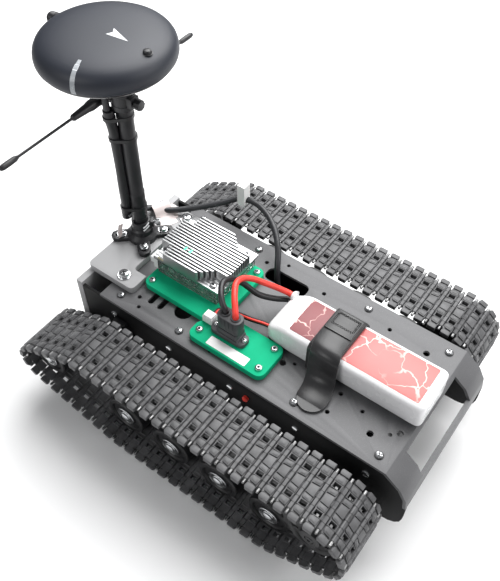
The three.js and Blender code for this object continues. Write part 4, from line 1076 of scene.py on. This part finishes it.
def make_battery():
    b = BATTERY
    (x0, x1), (y0, y1), (z0, z1) = b["x"], b["y"], b["z"]
    # (distance from the nose end, how far the skin draws in all round, how far its top comes down)
    stations = [(0, 3.6, 0), (0.25, 2.3, 0), (0.9, 1.1, 0), (2.0, 0.35, 0), (4, 0, 0)]
    stations += [(4 + 87 * i / 18, 0, 0) for i in range(1, 18)]
    stations += [(91, 0.02, 0), (93.5, 0.1, 0.25), (96, 0.25, 0.9), (98.5, 0.45, 2.0), (101, 0.8, 3.3),
                 (103.2, 1.3, 4.4), (104.6, 2.0, 5.0), (105.6, 3.2, 5.6), (106.1, 4.2, 6.4)]
    rings = []
    for t, draw, drop in stations:
        y = y0 + min(t, y1 - y0)
        r = max(b["r"] - draw * 0.4, 1.2)
        ring = rounded(x0 + draw, x1 - draw, z0 + draw * 0.45, z1 - draw * 0.6 - drop, r, 7)
        pucker = 0.22 * max(0, t - 88) / 18
        fine = []
        for k, (x, z) in enumerate(ring):
            swell = pucker * math.sin(k * 1.9 + t * 0.35) + 0.05 * math.sin(k * 0.7 + t * 0.21)
            fine.append((x + swell * (1 if x > 0 else -1) * 0.5, y, z + swell * 0.6))
        rings.append(fine)
    shape = Shape()
    shape.loft(rings)
    for route, size in ((RED_ROUTE, 2.5), (BLACK_ROUTE, 2.5)):  # the film gathers round each wire
        x, y, z = route[0]
        start = axes((x, y1 - 2.5, z), (0, 1, 0))
        shape.lathe([(size + 1.4, 0), (size + 0.8, 1.6), (size + 0.2, 2.3), (1.95, 2.6), (1.95, 0.4)],
                    start, 24)
    shape.make("battery_pack", [WRAP], stands_for=("battery",), slot="battery_wrap", sharp=50)
    print_on = Shape()
    print_on.prism(rounded(-13.4, 13.6, 3.6, 89.5, 0.8, 3), z1 + 0.02, z1 + 0.1, chamfer=0.03)
    print_on.make("battery_print", [LABEL])


def ribbon(shape, stations, thick, slot=0):
    """A flat strap through stations of (x, z, low y, high y), its thickness on the outer side."""
    rings = []
    for i, (x, z, low, high) in enumerate(stations):
        before, after = stations[max(i - 1, 0)], stations[min(i + 1, len(stations) - 1)]
        along = Vector((after[0] - before[0], after[1] - before[1])).normalized()
        out = Vector((along.y, -along.x))
        if out.y < 0 and abs(out.y) > abs(out.x) or (abs(out.x) >= abs(out.y) and out.x * x < 0):
            out = -out
        edge = min(0.35, (high - low) / 4)
        section = ((low + edge, 0), (high - edge, 0), (high, 0.3), (high, 0.7), (high - edge, 1),
                   (low + edge, 1), (low, 0.7), (low, 0.3))
        rings.append([(x + out.x * t * thick, y, z + out.y * t * thick) for y, t in section])
    shape.loft(rings, slot)


STRAP = {"y": (53.2, 73.8), "air": 0.3, "thick": 1.3}


def make_strap():
    (x0, x1), (_, top) = BATTERY["x"], BATTERY["z"]
    low_y, high_y = STRAP["y"]
    left, right, over, bend = x0 - 0.35, x1 + 0.35, top + 0.4, 3.4
    line = [(left, 0.5 + 16.5 * i / 8) for i in range(9)]
    line += [(left + bend * (1 - math.cos(a)), over - bend * (1 - math.sin(a)))
             for a in (TURN / 4 * i / 6 for i in range(1, 7))]
    line += [(left + bend + (right - left - 2 * bend) * i / 8, over + 0.12 * math.sin(math.pi * i / 8))
             for i in range(1, 9)]
    line += [(right - bend * (1 - math.sin(a)), over - bend * (1 - math.cos(a)))
             for a in (TURN / 4 * i / 6 for i in range(1, 7))]
    line += [(right, over - bend - (over - bend - 0.5) * i / 8) for i in range(1, 9)]
    arch = Shape()
    ribbon(arch, [(x, z, low_y, high_y) for x, z in line], STRAP["thick"])
    strap = arch.make("strap_band", [STRAP_WEB], stands_for=("battery_strap",), slot="webbing", sharp=50)

    # the free end: over the band, down the battery's right side and out along the deck to a round tip
    route = spline([(13.6, 22.6, 0), (4, 22.75, 0), (-8, 22.65, 0), (-14.6, 22.4, 0), (-17.9, 20.2, 0),
                    (-19.3, 15.2, 0), (-20.3, 9.6, 0), (-23.4, 4.6, 0), (-28.5, 2.0, 0), (-36, 0.9, 0),
                    (-43.9, 0.5, 0)], 8)
    tip, half = -34.4, 9.6
    stations = []
    for p in route:
        lean = min(max((p.x + 34) / 26, 0), 1)
        middle = 57.6 + 5.7 * lean * lean * (3 - 2 * lean)
        here = half if p.x > tip else math.sqrt(max(half * half - (p.x - tip) ** 2, 0.4))
        stations.append((p.x, p.y, middle - here, middle + here))
    tail = Shape()
    ribbon(tail, stations, STRAP["thick"])
    # the doubled end at the start of the free strap, and the block of stitching across it
    patch = [s for s in stations if s[0] > -2.5]
    ribbon(tail, [(x, z + STRAP["thick"] - 0.1, a + 0.5, b - 0.5) for x, z, a, b in patch], 0.9)
    piece = tail.make("strap_free_end", [STRAP_WEB], stands_for=("strap_tail",), slot="webbing", sharp=50)
    sew = Shape()
    height = 22.65 + STRAP["thick"] + 0.9
    corners = [(11.2, 56.4), (11.2, 70.6), (2.4, 70.6), (2.4, 56.4)]
    for (xa, ya), (xb, yb) in zip(corners, corners[1:] + corners[:1]):
        for run in (0, 0.8):
            steps = int(math.dist((xa, ya), (xb, yb)) / 1.3)
            for i in range(steps):
                t0, t1 = (i + 0.1) / steps, (i + 0.8) / steps
                skew = 0.22 * math.sin(i * 2.3 + run)
                a = (xa + (xb - xa) * t0 + run + skew, ya + (yb - ya) * t0 - run)
                b = (xa + (xb - xa) * t1 + run - skew, ya + (yb - ya) * t1 - run)
                mid = ((a[0] + b[0]) / 2, (a[1] + b[1]) / 2)
                sew.tube([(*a, height - 0.1), (*mid, height + 0.14), (*b, height - 0.1)], 0.22, 6)
    sew.make("strap_stitching", [THREAD])

    ring = Shape()
    x, middle, half_y, low, high, r = 20.1, 63.5, 11.6, 3.4, 12.2, 2.2
    loop = [(x, y, z) for y, z in rounded(middle - half_y, middle + half_y, low, high, r, 6)]
    ring.tube(loop, 0.95, 12, closed=True)
    ring.make("strap_loop", [DARK_STEEL_AND_SHADE], stands_for=("strap_ring",), slot="black_plastic", sharp=60)
    fold = Shape()                                            # the band's turn round the loop
    bow = [(18.9 + 2.3 * math.sin(a),
            12.6 + 2.2 * math.cos(a)) for a in (math.pi * i / 10 for i in range(11))]
    ribbon(fold, [(x, z, low_y + 0.8, high_y - 0.8) for x, z in bow], 0.9)
    fold.make("strap_fold", [STRAP_WEB], sharp=50)


make_deck_screws()
make_bracket_screws()
make_controller()
make_power_board()
refine("heatsink", ALUMINIUM, 0.14)
make_battery()
make_strap()


# ---------------------------------------------------------------- mast
MAST = (2.4, 219.4)
TUBE_R = 4.5
PUCK = {"x": -0.7, "y": 222.5, "r": 38.8, "z0": 139.3, "split": 145.4, "z1": 160.6}
LAMP_ANGLE = 3.45                # where the status window sits round the receiver, in radians
LAMP_HALF = 1.35                 # half the window's width
GLAND_ANGLE = 1.53
GLAND_Z = 151.6
BUTTON_AT = (-1, 192.4)
CLAMP_TURN = -0.86               # the clamp screw's angle round the mast
BASE_SCREW_RING = 13.8
AERIAL_AT = (0.75, 231.6, 114.6)


def strip(shape, line, across, width, thick, slot=0):
    """A flat tape along a line of points, as wide as width along the direction across."""
    across = Vector(across).normalized() * width / 2
    rings = []
    for i, p in enumerate(line):
        p = Vector(p)
        along = Vector(line[min(i + 1, len(line) - 1)]) - Vector(line[max(i - 1, 0)])
        out = across.cross(along).normalized() * thick / 2
        rings.append([tuple(p + a * across + b * out) for a, b in ((-1, -1), (1, -1), (1, 1), (-1, 1))])
    shape.loft(rings, slot)


def cable_at(z):
    """Where the receiver cable's line passes a height beside the mast."""
    return min((p for p in cable_line if p.y < 226.5), key=lambda p: abs(p.z - z))


def tie_loop(z, slack=0.35):
    """A band pulled round the mast and the cable at one height."""
    cable = cable_at(z)
    ring = [Vector((MAST[0] + a, MAST[1] + b)) for a, b in circle(TUBE_R + 0.5 + slack, 40)]
    ring += [Vector((cable.x + 0.5 + a, cable.y - 0.35 + b)) for a, b in circle(3.4 + slack, 40)]
    order = convex_hull_2d(ring)
    return [(ring[i].x, ring[i].y, z) for i in order]


def make_mast():
    x, y = MAST
    foot = Matrix.Translation((x, y, 0))
    tube = Shape()
    sleeve = [(0, 7.4), (4.5, 7.4), (4.5, 24), (5.0, 24.4), (5.15, 25.5), (5.1, 44), (5.3, 46.2),
              (4.85, 46.8),
              (4.8, 60), (4.9, 75), (4.85, 86), (5.2, 88.2), (5.35, 90), (5.15, 92), (4.85, 93),
              (4.9, 103),
              (5.25, 104.5), (5.25, 107), (4.85, 108), (4.5, 110.5), (4.5, 127.5), (0, 127.5)]
    tube.lathe(sleeve, foot, 48)
    tube.make("mast_sleeve_tube", [SLEEVE], stands_for=("mast_tube",), slot="mast_sleeve", sharp=50)

    refine("mast_base", BLACK_PLASTIC_AND_SHADE, 0.45)
    refine("mast_clamp_screw", STEEL, 0.2)
    refine("head_screw", BLACK_PLASTIC_AND_SHADE, 0.3)
    screws = Shape()
    for angle in (1, 3, 5, 7):
        a = angle * TURN / 8
        px, py = x + BASE_SCREW_RING * math.cos(a), y + BASE_SCREW_RING * math.sin(a)
        screws.lathe([(0, -2), (1.4, -2), (1.4, 0.05), (3.1, 0.05), (3.2, 0.5), (0, 0.5)],
                     Matrix.Translation((px, py, 8.6)), 28)
        cross_screw(screws, px, py, 9.3, 2.65, 0, 1, turned=angle * 0.7)
    screws.make("mast_base_screws", [STEEL, DARK_STEEL_AND_SHADE], slot="steel")

    trim = Shape()
    for z in (15.6, 18.1):                                   # two pale marks on the collar's front
        arc = [(x + 6.3 * math.cos(a), y + 6.3 * math.sin(a), z + 0.35 * k)
               for k, a in enumerate(math.radians(d) for d in range(-124, -80, 6))]
        trim.tube(arc, 0.5, 8)
    trim.make("collar_marks", [WHITE_PRINT])
    lug = Shape()
    lug.box((5.6, 8.4), (-2.6, 2.6), (15.2, 20), 0, foot @ Matrix.Rotation(CLAMP_TURN, 4, "Z"),
            chamfer=0.4)
    lug.make("clamp_lug", [BLACK_PLASTIC_AND_SHADE])

    ties = Shape()
    for z in (34, 90, 106):
        loop = tie_loop(z)
        line = loop + loop[:1]
        strip(ties, line, (0, 0, 1), 2.2, 0.8)
        head = Vector(loop[len(loop) // 3])
        ties.box((head.x - 1.6, head.x + 1.6), (head.y - 1.6, head.y + 1.6), (z - 1.9, z + 1.9),
                 chamfer=0.4)
    ties.make("cable_ties", [TIE])

    bundle = Shape()
    run = [p for p in cable_line if 27 < p.z < 112 and p.y < 227]
    bundle.tube([p + Vector((0.5, -0.35, 0)) for p in run], lambda t: 3.35 + 0.12 * math.sin(t * 19), 20)
    bundle.make("cable_sleeve", [SLEEVE], sharp=60)

    tag = Shape()
    strip(tag, [(-9.6, 227.6, 6.6), (-9.9, 227.9, 12), (-9.4, 227.7, 16), (-8.6, 227.2, 20)],
          (1, -0.4, 0), 3.2, 0.3)
    strip(tag, [(-8.4, 229.4, 6.4), (-8.9, 229.2, 12), (-8.0, 229.0, 16)], (1, 0.2, 0), 2.8, 0.3)
    tag.make("wire_tag", [TAPE])

    tape = Shape()
    over = spline([(20.4, 210.6, 5.5), (22.5, 214.5, 5.55), (24.4, 218.4, 6.4), (25.6, 221, 10.6),
                   (26.6, 223.4, 12.6),
                   (28.2, 226.2, 11.8), (29.6, 229.4, 7.2), (30.4, 231.4, 5.6)], 5)
    strip(tape, over, (1, -0.42, 0), 12.5, 0.22)
    strip(tape, spline([(26.4, 213.4, 5.75), (30.6, 217.6, 5.8), (33.4, 221.4, 6.6), (34.2, 225, 6)], 5),
          (1, -0.8, 0), 8, 0.22)
    tape.make("holding_tape", [TAPE])

    head = Shape()
    head.lathe([(4.7, 111.5), (6.5, 111.5), (6.9, 112), (6.9, 115), (6.6, 115.3), (6.6, 120.8),
                (6.9, 121.2),
                (6.9, 122.3), (6.1, 124), (5.9, 128), (6.6, 134), (8.2, 137.6), (8.9, 138.9), (0, 138.9),
                (0, 127.8), (4.7, 127.8), (4.7, 111.5)][:-1], foot, 48)
    head.box((-3.2, 3.2), (5.4, 9.8), (114.4, 121.6), 0,
             foot @ Matrix.Rotation(-TURN / 2, 4, "Z"), chamfer=0.5)
    head.make("mast_head_clamp", [BLACK_PLASTIC_AND_SHADE], stands_for=("mast_head",), slot="black_plastic")


# ---------------------------------------------------------------- satellite receiver
COVER = [(37.4, 145.4), (38.3, 146.4), (38.75, 148), (38.8, 149.4), (38.6, 151), (38.1, 152.8),
         (37.2, 154.4),
         (35.8, 155.9), (33.9, 157.1), (31, 158.2), (27, 159.1), (22, 159.8), (16, 160.25), (8, 160.52),
         (0, 160.6)]


def cover_height(x, y):
    """Height of the receiver's top surface over a point of the deck plan."""
    r = math.hypot(x - PUCK["x"], y - PUCK["y"])
    for (r1, z1), (r0, z0) in zip(COVER, COVER[1:]):
        if r0 <= r <= r1:
            return z0 + (z1 - z0) * (r - r0) / (r1 - r0)
    return PUCK["split"]


def print_on_cover(shape, outline):
    """A thin printed mark that follows the receiver's top."""
    shape.loft([[(x, y, cover_height(x, y) + lift) for x, y in outline] for lift in (-0.3, 0.16)])


def make_receiver():
    centre = Matrix.Translation((PUCK["x"], PUCK["y"], 0))
    cover = Shape()
    cover.lathe([(0, 145.4), *COVER], centre, 96)
    # A darker ring round the button: painted shade of its pocket.
    pocket_shade = [(2.9, 0.02), (2.9, 0.24), (2.5, 0.3), (2.4, 0.02)]
    bx, by = BUTTON_AT
    cover.lathe([(r, cover_height(bx, by) - 0.2 + z) for r, z in pocket_shade],
                Matrix.Translation((bx, by, 0)), 32, 1)
    cover.make("receiver_shell", [PUCK_TOP, PUCK_BASE_AND_SHADE], stands_for=("receiver_cover",),
               slot="receiver_cover",
               sharp=40)
    base = Shape()
    base.lathe([(0, 139.3), (25.4, 139.3), (27.5, 139.6), (32.4, 141.1), (36.2, 143.6), (37.4, 145.1),
                (0, 145.1)],
               centre, 96)
    base.make("receiver_foot", [PUCK_BASE_AND_SHADE], stands_for=("receiver_base",), slot="black_plastic", sharp=40)

    lamp = Shape()
    rings = []
    for r, z in COVER[1:11]:
        ring = []
        for lift, turn in ((-0.5, -1), (-0.5, 1), (0.1, 1), (0.1, -1)):
            angle = LAMP_ANGLE + turn * LAMP_HALF / PUCK["r"]
            out = r + lift * (1 if z < 156 else 0.4)
            ring.append((PUCK["x"] + out * math.cos(angle), PUCK["y"] + out * math.sin(angle),
                         z + lift * (0.2 if z < 152 else 0.9)))
        rings.append(ring)
    lamp.loft(rings)
    square = []
    for dr, dt in ((30.2, -1), (33.6, -1), (33.6, 1), (30.2, 1)):
        angle = LAMP_ANGLE + dt * 1.25 / dr
        square.append((PUCK["x"] + dr * math.cos(angle), PUCK["y"] + dr * math.sin(angle)))
    lamp.loft([[(x, y, cover_height(x, y) + lift) for x, y in square] for lift in (-0.2, 0.12)], 1)
    lamp.make("status_window", [LAMP, WHITE_PRINT], stands_for=("status_light",), slot="lamp", sharp=50)

    mark = Shape()
    arrow = [(-1.1, 205), (3.1, 218.6), (0.0, 216.4), (-3.3, 218.2)]
    print_on_cover(mark, arrow)
    mark.make("pointer_print", [WHITE_PRINT], sharp=20)

    gland = Shape()
    out = axes((PUCK["x"], PUCK["y"], GLAND_Z), (math.cos(GLAND_ANGLE), math.sin(GLAND_ANGLE), 0))
    gland.lathe([(0, 36.5), (3.9, 36.5), (3.9, 38.2), (3.5, 38.5), (3.5, 39.1), (3.8, 39.4), (3.8, 40),
                 (3.4, 40.3),
                 (3.4, 40.8), (3.6, 41.1), (3.5, 42), (2.7, 43.2), (1.6, 43.4), (0, 43.4)], out, 32)
    gland.make("receiver_gland", [BLACK_PLASTIC_AND_SHADE], stands_for=("cable_gland",), slot="black_plastic",
               sharp=50)

    button = Shape()
    top = PUCK["z1"] - 0.5
    button.lathe([(0, 155.5), (2.2, 155.5), (2.2, top - 0.7), (2.0, top - 0.2), (1.5, top + 0.05),
                  (0, top + 0.15)],
                 Matrix.Translation((bx, by, 0)), 36)
    button.make("round_button", [BLACK_WIRE], "select_button", stands_for=("select_button",),
                slot="black_plastic",
                sharp=50)


def make_aerial():
    shape = Shape()
    along = axes(AERIAL_AT, (1, 0, 0))
    half = [(0.8, 4), (3.2, 5.5), (3.25, 12), (2.7, 15), (2.3, 21), (2.0, 25.5), (1.5, 26.4),
            (0.85, 26.8),
            (0.8, 45), (0.8, 66), (1.25, 67.2), (1.65, 68.4), (1.75, 73), (1.7, 76.6), (1.3, 78.3),
            (0.7, 78.9),
            (0, 79)]
    body = [(r, -z) for r, z in reversed(half)] + half
    shape.lathe(body, along, 28)
    shape.lathe([(2.8, -5.8), (3.5, -5.4), (3.5, 5.4), (2.8, 5.8)], along, 32)
    shape.box((-0.6, 7.4), (226.9, 231.6), (112, 117.2), chamfer=0.5)
    shape.make("dipole_whip", [BLACK_PLASTIC_AND_SHADE], stands_for=("dipole_aerial",), slot="black_plastic",
               sharp=50)


make_mast()
make_receiver()
make_aerial()
dress("cable_flag", PAPER)
